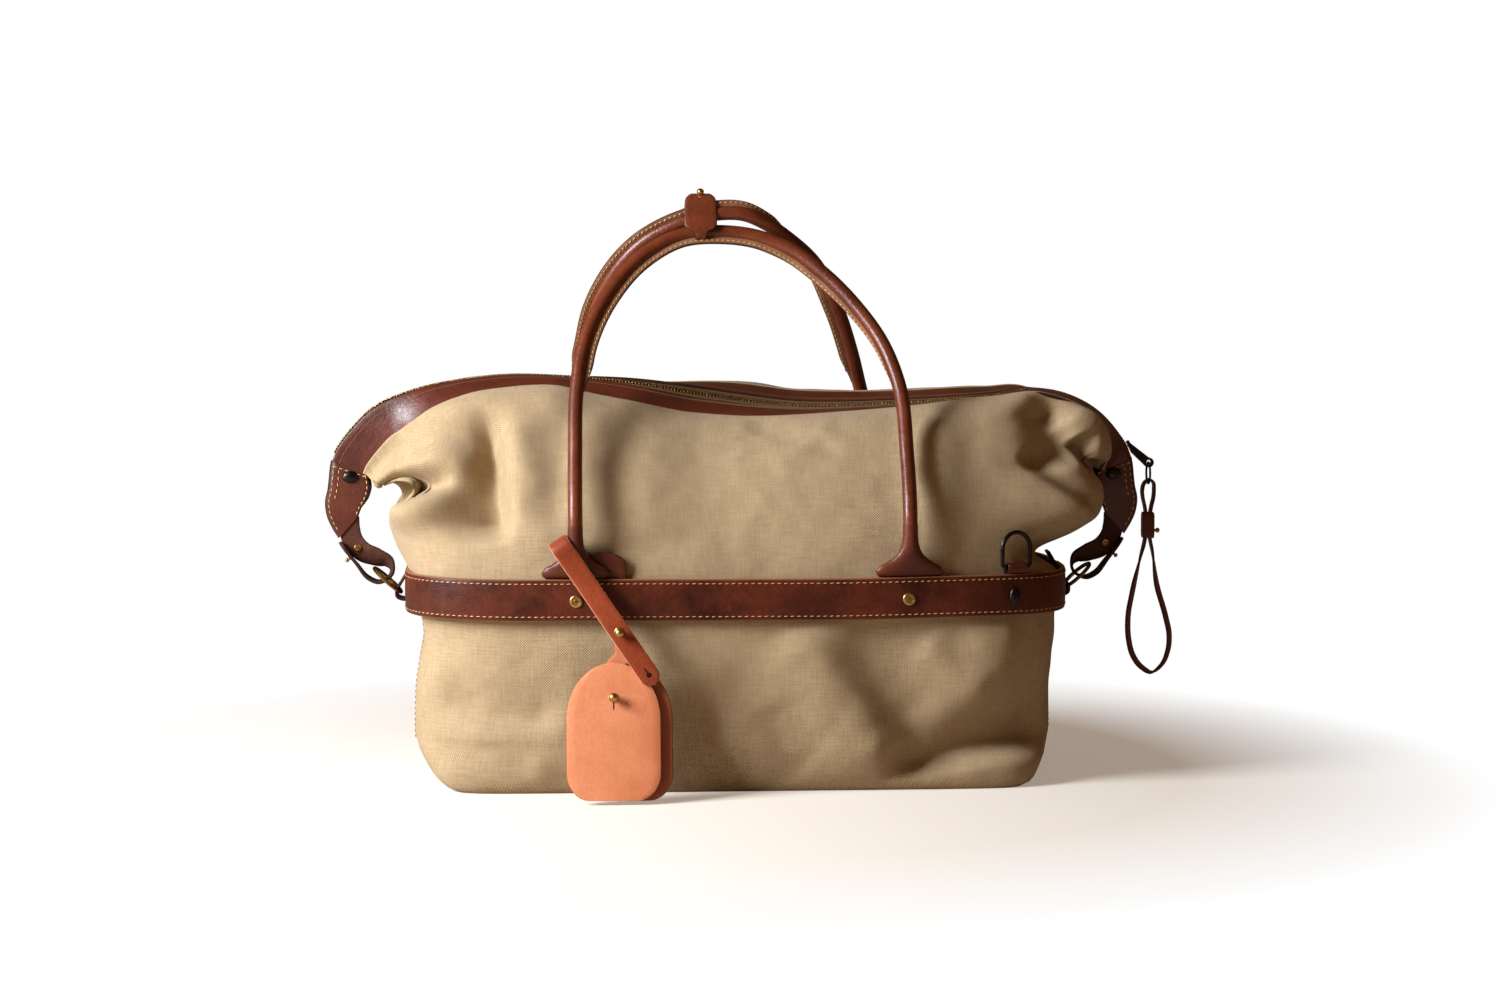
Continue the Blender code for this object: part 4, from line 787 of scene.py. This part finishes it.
for side, word in sides:
    piece = clothPiece("upperCanvas" + word.title(), "canvas_" + word + "_upper", upper, *upperShape(side))
    bendWithMouth(piece, side, word)
print("upper canvas made")

# facings, their seams, zip tape and teeth
zipper = {"tapeThick": 0.0007, "tapeUnder": 0.0020, "tapeIn": 0.006, "tapeDrop": 0.0008, "tapeGap": 0.0003,
          "pitch": 0.0026, "tooth": (0.0014, 0.0030, 0.0024), "toothAside": 0.0013, "toothUp": 0.0003,
          "bevel": 0.0003, "stop": 0.006}
zipLean = np.arctan2(sink, 2 * mouth["inset"])[:, None]
zipOut = np.cos(zipLean) * mouthOut + np.sin(zipLean) * np.array((0, -1.0, 0))
zipAcross = np.cross(zipOut, mouthWay)
zipMiddle = columns(mouthX, 0.0, mouthZ - sink / 2)
for side, word in sides:
    edge, down, face = mouthRows[side]
    piece = strapPiece((word + "Facing", facingLeather, "leather", ["facing_" + word]),
                       edge + down * mouth["width"] / 2, down, face, mouth["width"], mouth["thick"],
                       mouth["crown"], 8)
    bendWithMouth(piece, side, word)
    seamRows = [(edge + down * inset + face * (mouth["thick"] / 2 + mouth["lift"]), face)
                for inset in (mouth["seam"], mouth["width"] - mouth["seam"])]
    bendWithMouth(sewnPiece((word + "FacingSeams", goldThread, "leather"), seamRows), side, word)
    inner = zipMiddle + zipAcross * side * zipper["tapeGap"]
    outer = edge + down * zipper["tapeIn"]
    under = outer - face * zipper["tapeUnder"]
    across = unit(under - inner)
    upright = unit(np.cross(mouthWay, across) * -side)
    piece = strapPiece((word + "ZipTape", zipTape, "zip_tape", ["zip_tape_" + word]),
                       (inner + under) / 2 - zipOut * zipper["tapeDrop"], across, upright,
                       np.linalg.norm(outer - inner, axis=1), zipper["tapeThick"], steps=4)
    bendWithMouth(piece, side, word)
    bm = newMesh()
    long, wide, high = zipper["tooth"]
    total = lineLength(mouthLine)
    count = int((total - 2 * zipper["stop"]) / zipper["pitch"])
    share = (zipper["stop"] + (np.arange(count) + (0.25 if side < 0 else 0.75)) * zipper["pitch"]) / total
    for rows in zip(*alongMouth(share, zipMiddle, zipOut, zipAcross)):
        spot, out, aside = (Vector(row) for row in rows)
        way = aside.cross(out).normalized()
        place = Matrix((way * long, aside * wide, out * high)).transposed().to_4x4()
        place.translation = spot + aside * side * zipper["toothAside"] + out * zipper["toothUp"]
        bmesh.ops.create_cube(bm, size=1.0, matrix=place)
    bmesh.ops.bevel(bm, geom=bm.edges[:], offset=zipper["bevel"], offset_type="OFFSET", affect="EDGES",
                    segments=1, profile=0.5, material=-1)
    bendWithMouth(finishPiece(bm, word + "ZipTeeth", toothBrass, "brass", ["zip_teeth_" + word]), side, word)
print("mouth made")

# belt with its two seams
belt = {"low": 0.135, "high": 0.167, "thick": 0.0042, "off": 0.0032, "gap": 0.010, "gapShare": 0.6,
        "crown": 0.0005, "seam": 0.0034, "lift": 0.0004, "sag": 0.0012, "sagLong": 0.12, "sagSeed": 4.0,
        "stitch": {"pitch": 0.0050, "long": 0.0034, "wide": 0.00075}}
for side, word in sides:
    off = belt["off"] + belt["thick"] / 2
    ends = belt["gapShare"] * math.asin(belt["gap"] / (wall["deep"] / 2))
    x, y, out = wallLine(ringAngles(240, -math.pi + ends, -ends, off)[0], off)
    y, out = y * -side, out * np.array((1, -side, 1))
    sag = belt["sag"] * ripples(columns(x, y, 0.0), belt["sagLong"], belt["sagSeed"] + side)
    centre = columns(x, y, (belt["low"] + belt["high"]) / 2 + sag)
    tall = belt["high"] - belt["low"]
    strapPiece((word + "Belt", beltLeather, "leather", ["belt_" + word], "bag"),
               centre, zWay, out, tall, belt["thick"], belt["crown"], 10)
    seamRows = [(centre + zWay * up + out * (belt["thick"] / 2 + belt["lift"]), out)
                for up in (tall / 2 - belt["seam"], belt["seam"] - tall / 2)]
    sewnPiece((word + "BeltSeams", goldThread, "leather", (), "bag"), seamRows, **belt["stitch"])
print("belt made")

# rolled handles, each with a flat sewn welt; points are across the bag and up the handle from its hinge
grip = {"radius": 0.0056, "hinge": (0.1275, 0.1199, 0.219), "foot": (0.196, 0.208), "bend": (0.206, 0.232),
        "weltFrom": 0.098, "weltGrow": 0.03, "weltWide": 0.0060, "weltLeast": 0.0012, "weltThick": 0.0036,
        "weltSink": 0.0010, "seamOut": 0.0028, "lift": 0.0002}
handles = {
    "front": {"lean": 29.4, "welt": ((-0.13, 0), (0.02, 0), (0.09, -60), (0.13, -75)),
              "points": [(-0.1272, 0.0474), (-0.1252, 0.1052), (-0.1186, 0.145), (-0.1019, 0.1835),
                         (-0.0748, 0.218), (-0.0413, 0.2386), (-0.0104, 0.2413), (0.0124, 0.2386),
                         (0.0436, 0.226), (0.0696, 0.2036), (0.0951, 0.1725), (0.1118, 0.1443),
                         (0.1234, 0.1086), (0.1272, 0.0461)]},
    "back": {"lean": 27.9, "welt": ((-0.14, 180), (-0.04, 180), (0.03, 250), (0.08, 360), (0.13, 360)),
             "points": [(-0.1240, 0.0474), (-0.1205, 0.1065), (-0.1154, 0.1361), (-0.1090, 0.1677),
                        (-0.0679, 0.2311), (-0.0397, 0.2470), (-0.0143, 0.2540), (0.0079, 0.2536),
                        (0.0264, 0.2449), (0.0452, 0.2306), (0.0635, 0.2125), (0.0858, 0.1676),
                        (0.0990, 0.1274), (0.1085, 0.0905), (0.1215, 0.0461)]},
}
for side, word in sides:
    values, body = handles[word], "handle_" + word
    hx, hy, hz = grip["hinge"]
    lean, hingeSpot = math.radians(values["lean"]), np.array((0, side * hy, hz))
    rise = np.array((0, -side * math.sin(lean), math.cos(lean)))
    points = [(-hx, side * hy, z) for z in grip["foot"]]
    points += [hingeSpot + xWay * x + rise * h for x, h in values["points"]]
    points += [(hx, side * hy, z) for z in grip["foot"][::-1]]
    line = smoothLine(points, 260)
    inward, face = tubeFrame(line, np.cross(xWay, rise))
    bm = newMesh()
    sweep(bm, line, inward, face, [ovalSection(2 * grip["radius"], 2 * grip["radius"], 2, 20)] * len(line))
    piece = finishPiece(bm, word + "Grip", handleLeather, "leather", [word + "_handle"])
    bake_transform(piece, "bag", body, *((0, side * hy, z) for z in grip["bend"]))
    grow = ease(((line - hingeSpot) @ rise - grip["weltFrom"]) / grip["weltGrow"])
    keep = np.where(grow > 0.02)[0]
    twist = np.radians(np.interp(line[keep, 0], *np.array(values["welt"], float).T))[:, None]
    away = np.cos(twist) * inward[keep] + np.sin(twist) * face[keep]
    flatWay = np.cross(tangents(line)[keep], away)
    wide = grip["weltLeast"] + (grip["weltWide"] - grip["weltLeast"]) * grow[keep]
    strapPiece((word + "Welt", weltLeather, "leather", (), body),
               line[keep] + away * (grip["radius"] - grip["weltSink"] + wide / 2)[:, None], away, flatWay,
               wide, grip["weltThick"], steps=4)
    seamLine = line[keep] + away * (grip["radius"] + grip["seamOut"])
    lift = flatWay * (grip["weltThick"] / 2 + grip["lift"])
    seamRows = [((seamLine + lift * way)[5:-5], flatWay[5:-5] * way)
                for way in (1, -1)]
    sewnPiece((word + "GripSeam", goldThread, "leather", (), body), seamRows, pitch=0.0042, long=0.0029)

# keeper round both handles: a wide wrap on the back one, a narrow tab under the front one
# rows are y, z and width
keeper = {"x": -0.0266, "thick": 0.0022,
          "wrap": [(-0.0078, 0.4338, 0.0253), (-0.0070, 0.4385, 0.0256), (-0.0045, 0.4440, 0.0254),
                   (-0.0022, 0.4500, 0.0252), (-0.0008, 0.4550, 0.0240), (0.0004, 0.4578, 0.0190),
                   (0.0014, 0.4584, 0.0150), (0.0030, 0.4572, 0.0190), (0.0066, 0.4520, 0.0240),
                   (0.0096, 0.4450, 0.0250), (0.0098, 0.4390, 0.0250), (0.0070, 0.4335, 0.0250)],
          "flap": [(-0.0074, 0.4362, 0.0244), (-0.0088, 0.4335, 0.0240), (-0.0095, 0.4312, 0.0170),
                   (-0.0093, 0.4288, 0.0100), (-0.0086, 0.4262, 0.0088), (-0.0064, 0.4236, 0.0088),
                   (-0.0030, 0.4220, 0.0088), (0.0010, 0.4222, 0.0088), (0.0044, 0.4242, 0.0088),
                   (0.0060, 0.4275, 0.0088)]}
for name, word in (("wrap", "back"), ("flap", "front")):
    y, z, wide = smoothLine(keeper[name], 60).T
    line = columns(keeper["x"], y, z)
    strapPiece((name + "Keeper", handleLeather, "leather", ["keeper_" + name], "handle_" + word),
               line, xWay, np.cross(tangents(line), xWay), wide, keeper["thick"], steps=8)

# flared feet under the handles, with flat tails behind the belt
foot = {"x": 0.127,
        "rows": [  # height, width, depth, distance off the wall, squareness
            (0.1440, 0.0420, 0.0022, 0.0016, 4.0), (0.1600, 0.0430, 0.0022, 0.0016, 4.0),
            (0.1668, 0.0460, 0.0030, 0.0020, 3.6), (0.1690, 0.0505, 0.0075, 0.0043, 3.0),
            (0.1716, 0.0520, 0.0094, 0.0053, 2.7), (0.1748, 0.0480, 0.0100, 0.0057, 2.5),
            (0.1782, 0.0370, 0.0102, 0.0064, 2.3), (0.1820, 0.0265, 0.0106, 0.0072, 2.1),
            (0.1868, 0.0178, 0.0112, 0.0082, 2.0), (0.1925, 0.0134, 0.0118, 0.0087, 2.0),
            (0.2000, 0.0119, 0.0118, 0.0088, 2.0), (0.2080, 0.0115, 0.0115, 0.0088, 2.0)]}
footRows = smoothRows(foot["rows"], 0.002, 44)
for side, word in sides:
    for hand, name in hands:
        spot, out, way = wallAt(hand * foot["x"], side)
        bm = newMesh()
        sweep(bm, spot + out * footRows[:, 3:4] + zWay * footRows[:, 0:1], way, out,
              [ovalSection(*size) for size in footRows[:, (1, 2, 4)]])
        node = "handle_foot_" + word + "_" + name
        finishPiece(bm, word + name.title() + "Foot", footLeather, "leather", [node], "bag")
print("handles made")

# luggage tag: two leaves, a strap that hooks behind the handle's leg, and a hanger between them
tag = {"foot": (-0.0995, -0.150, 0.0025), "lean": math.radians(11.0), "wide": 0.0715, "tall": 0.104,
       "corner": 0.021, "crown": 0.043, "straight": 0.0176, "thick": 0.0024, "space": 0.0046, "shift": 0.009,
       "bow": 0.0006, "stud": 0.0775}
tagUp = np.array((0, math.sin(tag["lean"]), math.cos(tag["lean"])))
tagOut = np.array((0, -math.cos(tag["lean"]), math.sin(tag["lean"])))
tagFoot = np.array(tag["foot"])
tagHeights = (1 - np.cos(np.linspace(0, math.pi, 64))) / 2 * tag["tall"]
leafHalf = tag["straight"] + (tag["wide"] / 2 - tag["straight"]) * roundEnd(tagHeights, tag["corner"], 0)
leafHalf = leafHalf * roundEnd(tag["tall"] - tagHeights, tag["crown"], 0.005)
# the rear leaf takes the darker copy of the tag leather, painted shade between the leaves
rearLeaf = ("tagRearLeaf", tagRearShadedLeather, "tag_leather", ["tag_back_leaf"], "tag")
faceLeaf = ("tagFaceLeaf", tagLeather, "tag_leather", ["tag_front_leaf"], "tag_flap")
leaves = ((rearLeaf, tag["shift"], 0.0, 0.0), (faceLeaf, 0.0, tag["space"], tag["bow"]))
for finish, shift, out, bow in leaves:
    curl = bow * np.sin(tagHeights / tag["tall"] * math.pi)
    centres = tagFoot + xWay * shift + tagUp * tagHeights[:, None] + tagOut * (out + curl)[:, None]
    strapPiece(finish, centres, xWay, tagOut, 2 * leafHalf, tag["thick"], 0.0004, 10)

lace = {"wide": 0.0158, "thick": 0.0022, "lean": math.radians(34.3), "fold": (-0.1363, -0.1199, 0.190),
        "radius": 0.008, "tail": 0.0042, "reach": 0.1214, "drop": 0.0132, "stud": 0.0737, "end": 0.0079,
        "bend": ((-0.1275, -0.1199, 0.190), (-0.1200, -0.1290, 0.165))}
laceAlong = np.array((math.sin(lace["lean"]), 0, -math.cos(lace["lean"])))
laceAcross = np.array((math.cos(lace["lean"]), 0, math.sin(lace["lean"])))
laceFold = np.array(lace["fold"])


def lacePoint(reach):  # middle of the strap's front run
    forward = -lace["radius"] - lace["drop"] * ease(reach / lace["reach"])
    return laceFold + laceAlong * reach + np.array((0, forward, 0))


points = [laceFold + np.array((0, lace["radius"], 0)) + laceAlong * lace["tail"] * k for k in (1.0, 0.5)]
for a in np.radians(np.linspace(-90, 90, 9)):
    points.append(laceFold + lace["radius"] * (np.array((0, -math.sin(a), 0)) - laceAlong * math.cos(a)))
points += [lacePoint(lace["reach"] * k) for k in np.linspace(0.04, 1.0, 14)]
line = smoothLine(points, 150)
wide = lace["wide"] * roundEnd(np.linspace(lineLength(line), 0, len(line)), lace["end"], 0.02)
piece = strapPiece(("tagLace", tagStrapLeather, "tag_leather", ["tag_strap"]),
                   line, laceAcross, np.cross(tangents(line), laceAcross), wide, lace["thick"], 0.0002)
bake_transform(piece, "bag", "tag", *lace["bend"])

hanger = {"wide": 0.014, "narrow": 0.8, "thick": 0.0014, "tag": ((0.084, 0.0022), (0.100, 0.0024)),
          "knot": ((0.002, 0.0045, -0.020), (0, 0.0030, 0), (-0.0005, 0.0031, 0.007))}
points = [tagFoot + tagUp * h + tagOut * out for h, out in hanger["tag"]]
points += [lacePoint(lace["stud"]) + np.array(shift) for shift in hanger["knot"]]
line = smoothLine(points, 40)
strapPiece(("tagLoop", tagLeather, "tag_leather", ["tag_hanger"], "tag"), line, *tubeFrame(line, (0, -1, 0)),
           hanger["wide"] * np.linspace(1.0, hanger["narrow"], 40), hanger["thick"])
print("tag made")

# zip ends: leather folded over the tape's end, and the straps from there to the side rings
zipEnd = {"seam": 0.0034, "inner": 0.0078, "lift": 0.0002,
          "rows": [  # across, height, width, thickness, slope in degrees
              (0.3035, 0.2440, 0.0320, 0.0132, 21), (0.3036, 0.2400, 0.0330, 0.0132, 17),
              (0.3036, 0.2335, 0.0338, 0.0130, 8), (0.3042, 0.2270, 0.0345, 0.0120, 0),
              (0.3062, 0.2192, 0.0346, 0.0100, -4), (0.3074, 0.2115, 0.0316, 0.0080, -15),
              (0.3068, 0.2045, 0.0280, 0.0062, -32), (0.3053, 0.1968, 0.0236, 0.0046, -48)]}
sideStrap = {"wide": 0.0165, "thick": 0.0024, "end": 0.006,
             "rows": [  # across, height, and the way across the strap
                 (-0.3050, 0.2050, 0.90, 0.0, 0.44), (-0.3046, 0.1964, 0.80, 0.0, 0.60),
                 (-0.3018, 0.1858, 0.70, -0.05, 0.71), (-0.2946, 0.1775, 0.62, -0.15, 0.77),
                 (-0.2836, 0.1730, 0.50, -0.45, 0.72), (-0.2742, 0.1688, 0.40, -0.75, 0.40),
                 (-0.2712, 0.1620, 0.15, -1.0, 0.0), (-0.2752, 0.1556, 0.0, -1.0, 0.0),
                 (-0.2818, 0.1532, 0.0, -1.0, 0.0), (-0.2900, 0.1565, 0.0, -1.0, 0.0),
                 (-0.2992, 0.1676, 0.05, -1.0, 0.05), (-0.3076, 0.1780, 0.10, -1.0, 0.1),
                 (-0.3122, 0.1850, 0.12, -1.0, 0.1)]}
for hand, name in hands:
    rows = smoothRows(zipEnd["rows"], 0.0003, 40)
    angle, wide, thick = np.radians(rows[:, 4]), rows[:, 2:3], rows[:, 3:4]
    centres = columns(hand * rows[:, 0], 0.0, rows[:, 1])
    across = columns(hand * np.cos(angle), 0.0, np.sin(angle))
    level = np.array((0.0, -1.0, 0.0))
    strapPiece((name + "ZipEnd", facingLeather, "leather", ["zip_end_tab_" + name], "bag"),
               centres, across, level, rows[:, 2], rows[:, 3], steps=8)
    seamRows = []
    for out in (level, -level):
        surface = centres + out * (thick / 2 + zipEnd["lift"])
        for edge in (1, -1):
            seamRows.append(((surface + across * edge * (wide / 2 - zipEnd["seam"]))[2:-5], out))
        seamRows.append(((surface + across * (wide / 2 - zipEnd["inner"]))[4:18], out))
        seamRows.append((surface[2] + across[2] * np.linspace(-0.012, 0.012, 12)[:, None], out))
    sewnPiece((name + "ZipEndSeams", goldThread, "leather", (), "bag"), seamRows)
    mirror = np.array((-hand, 1, 1))
    rows = np.array(sideStrap["rows"])
    line = smoothLine(columns(rows[:, 0], 0.0, rows[:, 1]), 120)
    share, run = runOf(rows[:, :2]), np.linspace(0, 1, 120)
    across = columns(*(np.interp(run, share / share[-1], column) for column in rows[:, 2:].T))
    along = tangents(line)
    across = squareTo(along, across)
    tail = roundEnd((1 - run) * lineLength(line), sideStrap["end"], 0.05)
    face = np.cross(along, across) * mirror
    strapPiece((name + "SideStrap", suedeLeather, "leather", ["side_strap_" + name], "bag"),
               line * mirror, across * mirror, face, sideStrap["wide"] * tail, sideStrap["thick"])
print("wing ends made")

# chapes that hold the side rings to the belt's ends
chape = {"wide": 0.018, "thick": 0.0022,
         "rows": [(-0.2512, 0.1745), (-0.2575, 0.1640), (-0.2645, 0.1525), (-0.2678, 0.1465),
                  (-0.2672, 0.1420), (-0.2632, 0.1400), (-0.2580, 0.1402), (-0.2525, 0.1420)]}
for hand, name in hands:
    line = smoothLine([(-hand * x, 0.0, z) for x, z in chape["rows"]], 60)
    across = np.array((0.0, -1.0, 0.0))
    strapPiece((name + "Chape", footLeather, "leather", ["ring_chape_" + name], "bag"),
               line, across, np.cross(tangents(line), across), chape["wide"], chape["thick"])

# loops that hold the strap rings, from behind the belt and over each ring's bar; rows are outward and up
loop = {"wide": 0.017, "thick": 0.0016, "bar": (0.211818, -0.100363, 0.0), "way": (0.92216, 0.38684, 0.0),
        "rows": [(-0.0038, 0.150), (-0.0038, 0.165), (-0.0033, 0.1715), (-0.0012, 0.1747), (0.0014, 0.1747),
                 (0.0030, 0.1722), (0.0008, 0.1675), (-0.0018, 0.1645), (-0.0020, 0.150)]}
for side, word in sides:
    across = np.array(loop["way"])
    normal = np.array((across[1], -across[0], 0.0))
    bar = np.array(loop["bar"])
    line = smoothLine([(bar + normal * off) * -side + zWay * z for off, z in loop["rows"]], 60)
    strapPiece((word + "RingLoop", footLeather, "leather", ["dring_chape_" + word], "bag"),
               line, across, np.cross(tangents(line), across), loop["wide"], loop["thick"])

# zip pull: a thin strap looped through the ring, held by a sleeve; rows are sideways and up
pull = {"wide": 0.009, "thick": 0.0020, "x": 0.3324, "lean": 0.0032, "twist": 30, "sleeve": (0.1846, 0.2050),
        "sleeveSize": (0.0098, 0.0136), "count": 220,
        "rows": [(0.0014, 0.2316), (0.0040, 0.2292), (0.0047, 0.2235), (0.0042, 0.2165), (0.0028, 0.2105),
                 (0.0019, 0.2050), (0.0017, 0.1950), (0.0019, 0.1846), (0.0044, 0.1740), (0.0100, 0.1465),
                 (0.0185, 0.1207), (0.0216, 0.1060), (0.0206, 0.0930), (0.0160, 0.0820), (0.0076, 0.0757),
                 (-0.0012, 0.0804), (-0.0080, 0.0900), (-0.0112, 0.1020), (-0.0120, 0.1207),
                 (-0.0096, 0.1400), (-0.0050, 0.1680), (-0.0019, 0.1846), (-0.0017, 0.1950),
                 (-0.0019, 0.2050), (-0.0028, 0.2105), (-0.0042, 0.2165), (-0.0047, 0.2235),
                 (-0.0028, 0.2292)]}
x, z = np.array(pull["rows"] + pull["rows"][:1]).T
x = pull["x"] - pull["lean"] * ease((0.195 - z) / 0.08) + x
count = pull["count"]
line = smoothLine(columns(x, 0.0, z), count + 1)[:-1]
along = unit(np.roll(line, -1, axis=0) - np.roll(line, 1, axis=0))
twist = math.radians(pull["twist"]) * ease((0.182 - line[:, 2]) / 0.04)
across = squareTo(along, columns(np.sin(twist), np.cos(twist), 0.0))
section, edges = stripSection(pull["wide"], pull["thick"])
bm = newMesh()
sweep(bm, line, across, np.cross(along, across), [section] * count, [edges] * count, closed=True)
finishPiece(bm, "pullLoop", pullLeather, "leather", ["pull_strap"], "pull")
low, high = pull["sleeve"]
heights = np.linspace(low, high, 24)
rounding = 1 - 0.10 * np.exp(-np.minimum(heights - low, high - heights) / 0.0012)
bm = newMesh()
sweep(bm, columns(pull["x"], 0.0, heights), xWay, (0, 1.0, 0),
      [ovalSection(*(size * r for size in pull["sleeveSize"]), 5.0) for r in rounding])
finishPiece(bm, "pullSleeve", saddleLeather, "leather", ["pull_keeper"], "pull")

# flat patch behind the front left foot
patch = {"x": -0.106, "low": 0.150, "high": 0.1872, "tip": 0.1873, "end": 0.0101, "wide": 0.034,
         "thick": 0.0022, "off": 0.0016}
spot, out, way = wallAt(patch["x"], -1)
heights = np.linspace(patch["low"], patch["high"], 30)
line = spot + out * patch["off"] + zWay * heights[:, None]
wide = patch["wide"] * roundEnd(patch["tip"] - heights, patch["end"], 0.05)
strapPiece(("footPatch", saddleLeather, "leather", (), "bag"), line, way, out, wide, patch["thick"], steps=8)

# turned studs with a flat foot, a neck and a ball, and flat rivets; profiles in mm
stud = {"ball": [(0.0, 0.0), (2.9, 0.0), (3.0, 0.5), (2.6, 0.9), (1.6, 1.2), (1.4, 2.0), (1.9, 2.5),
                 (2.6, 3.3), (2.9, 4.3), (2.7, 5.3), (2.0, 6.2), (1.0, 6.8), (0.0, 7.0)],
        "rivet": [(0.0, 1.2), (1.2, 1.2), (1.4, 0.6), (2.6, 0.9), (3.1, 0.4), (3.1, -0.6), (0.0, -0.6)]}


def ballStud(bm, spot, outward, size):
    lathe(bm, [(r * size, h * size) for r, h in stud["ball"]], facingMatrix(spot, outward, (0, 1, 0.3)))


low, high = (np.array(corner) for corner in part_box("tag_stud"))
tagStud = tagFoot + xWay * ((low[0] + high[0]) / 2 - tagFoot[0]) + tagUp * tag["stud"]
tagStud = tagStud + tagOut * (tag["space"] + tag["thick"] / 2 + tag["bow"])
laceStud = lacePoint(lace["stud"]) - np.array((0, lace["thick"] / 2 - 0.0002, 0))
knobs = (("keeperKnob", "keeper_stud", "handle_back", (keeper["x"], 0.0012, 0.4566), (0, -0.15, 1), 1.0),
         ("tagKnob", "tag_stud", "tag_flap", tagStud, tagOut, 1.25),
         ("laceKnob", "tag_strap_stud", "tag", laceStud, (0, -1, 0), 1.25),
         ("pullKnob", "pull_stud", "pull", (pull["x"] + 0.0048, 0, 0.1905), (1, 0, 0), 0.72))
for name, node, body, spot, outward, size in knobs:
    bm = newMesh()
    ballStud(bm, spot, outward, size)
    finishPiece(bm, name, agedBrass, "brass", [node], body)
for hand, name in hands:
    bm = newMesh()
    ballStud(bm, (hand * 0.3046, 0, 0.1722), (hand * 0.78, 0, -0.63), 0.62)
    lathe(bm, stud["rivet"], facingMatrix((hand * 0.2982, -0.0022, 0.1808), (hand * -0.25, -1, 0.1)))
    finishPiece(bm, name + "StrapKnob", agedBrass, "brass", ["strap_stud_" + name], "bag")

# belt screws with a raised rim, and the slots in their heads as flat dark gunmetal bars: painted shade for
# the recesses
screw = {"profile": [(0.0, 0.9), (1.4, 0.9), (1.6, 0.5), (3.0, 0.5), (3.3, 1.2), (4.3, 1.2), (5.0, 0.6),
                     (5.1, -0.4), (0.0, -0.4)],
         "seat": 0.0006, "slot": (0.0026, 0.0005, 0.0006), "slotUp": 0.0009}
for side, word in sides:
    for hand, name in hands:
        node = "belt_screw_" + word + "_" + name
        low, high = (np.array(corner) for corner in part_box(node))
        spot, out = wallAt((low[0] + high[0]) / 2, side, belt["off"] + belt["thick"] + screw["seat"])[:2]
        spot = spot + zWay * (low[2] + high[2]) / 2
        bm = newMesh()
        lathe(bm, screw["profile"], facingMatrix(spot, out))
        finishPiece(bm, word + name.title() + "Screw", agedBrass, "brass", [node], "bag")
        # painted shade: dark bars on the heads stand in for the shade in the slots
        bm = newMesh()
        for slotAngle in ((35, 125) if hand < 0 else (70,)):
            spin = Matrix.Rotation(math.radians(slotAngle), 4, "Z")
            place = facingMatrix(spot + out * screw["slotUp"], out) @ spin
            bmesh.ops.create_cube(bm, size=1.0, matrix=place @ Matrix.Diagonal((*screw["slot"], 1.0)))
        finishPiece(bm, word + name.title() + "ScrewSlot", gunmetal, "gunmetal", (), "bag")

# slits: under the tag's stud, and the buttonhole at the end of its strap, drawn as flat dark spots of painted
# shade
slit = {"stud": 0.0715, "hole": 0.1127, "wide": 0.0009, "long": 0.0070, "round": 0.0040, "step": 0.0032}


# a flat dark spot of painted shade laid on a surface in place of an opening
def darkSpot(bm, spot, outward, upward, wide, long):
    place = facingMatrix(spot, outward, upward) @ Matrix.Diagonal((wide, long, 0.0005, 1.0))
    bmesh.ops.create_uvsphere(bm, u_segments=16, v_segments=6, radius=0.5, matrix=place)


bm = newMesh()
spot = tagFoot + tagUp * slit["stud"] + tagOut * (tag["space"] + tag["bow"] + tag["thick"] / 2 + 0.0004)
darkSpot(bm, spot, tagOut, tagUp, slit["wide"], slit["long"])
finishPiece(bm, "tagSlit", slitShadeLeather, "tag_leather", (), "tag_flap")
bm = newMesh()
spot = lacePoint(slit["hole"]) - np.array((0, lace["thick"] / 2 + 0.0003, 0))
darkSpot(bm, spot, (0, -1, 0), laceAlong, slit["round"], slit["round"])
darkSpot(bm, spot - laceAlong * slit["step"], (0, -1, 0), laceAlong, slit["wide"], slit["long"])
finishPiece(bm, "strapHole", slitShadeLeather, "tag_leather", (), "tag")
print("small straps made")

# rings, rivets, slider and board keep their solids and take these materials
plainFinish = {"brass": ringBrass, "gunmetal": gunmetal, "board": boardFibre}
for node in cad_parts.values():
    for k, old in enumerate(node.data.materials):
        word = old.name.split(".")[0] if old else ""
        if word in plainFinish:
            node.data.materials[k] = plainFinish[word]
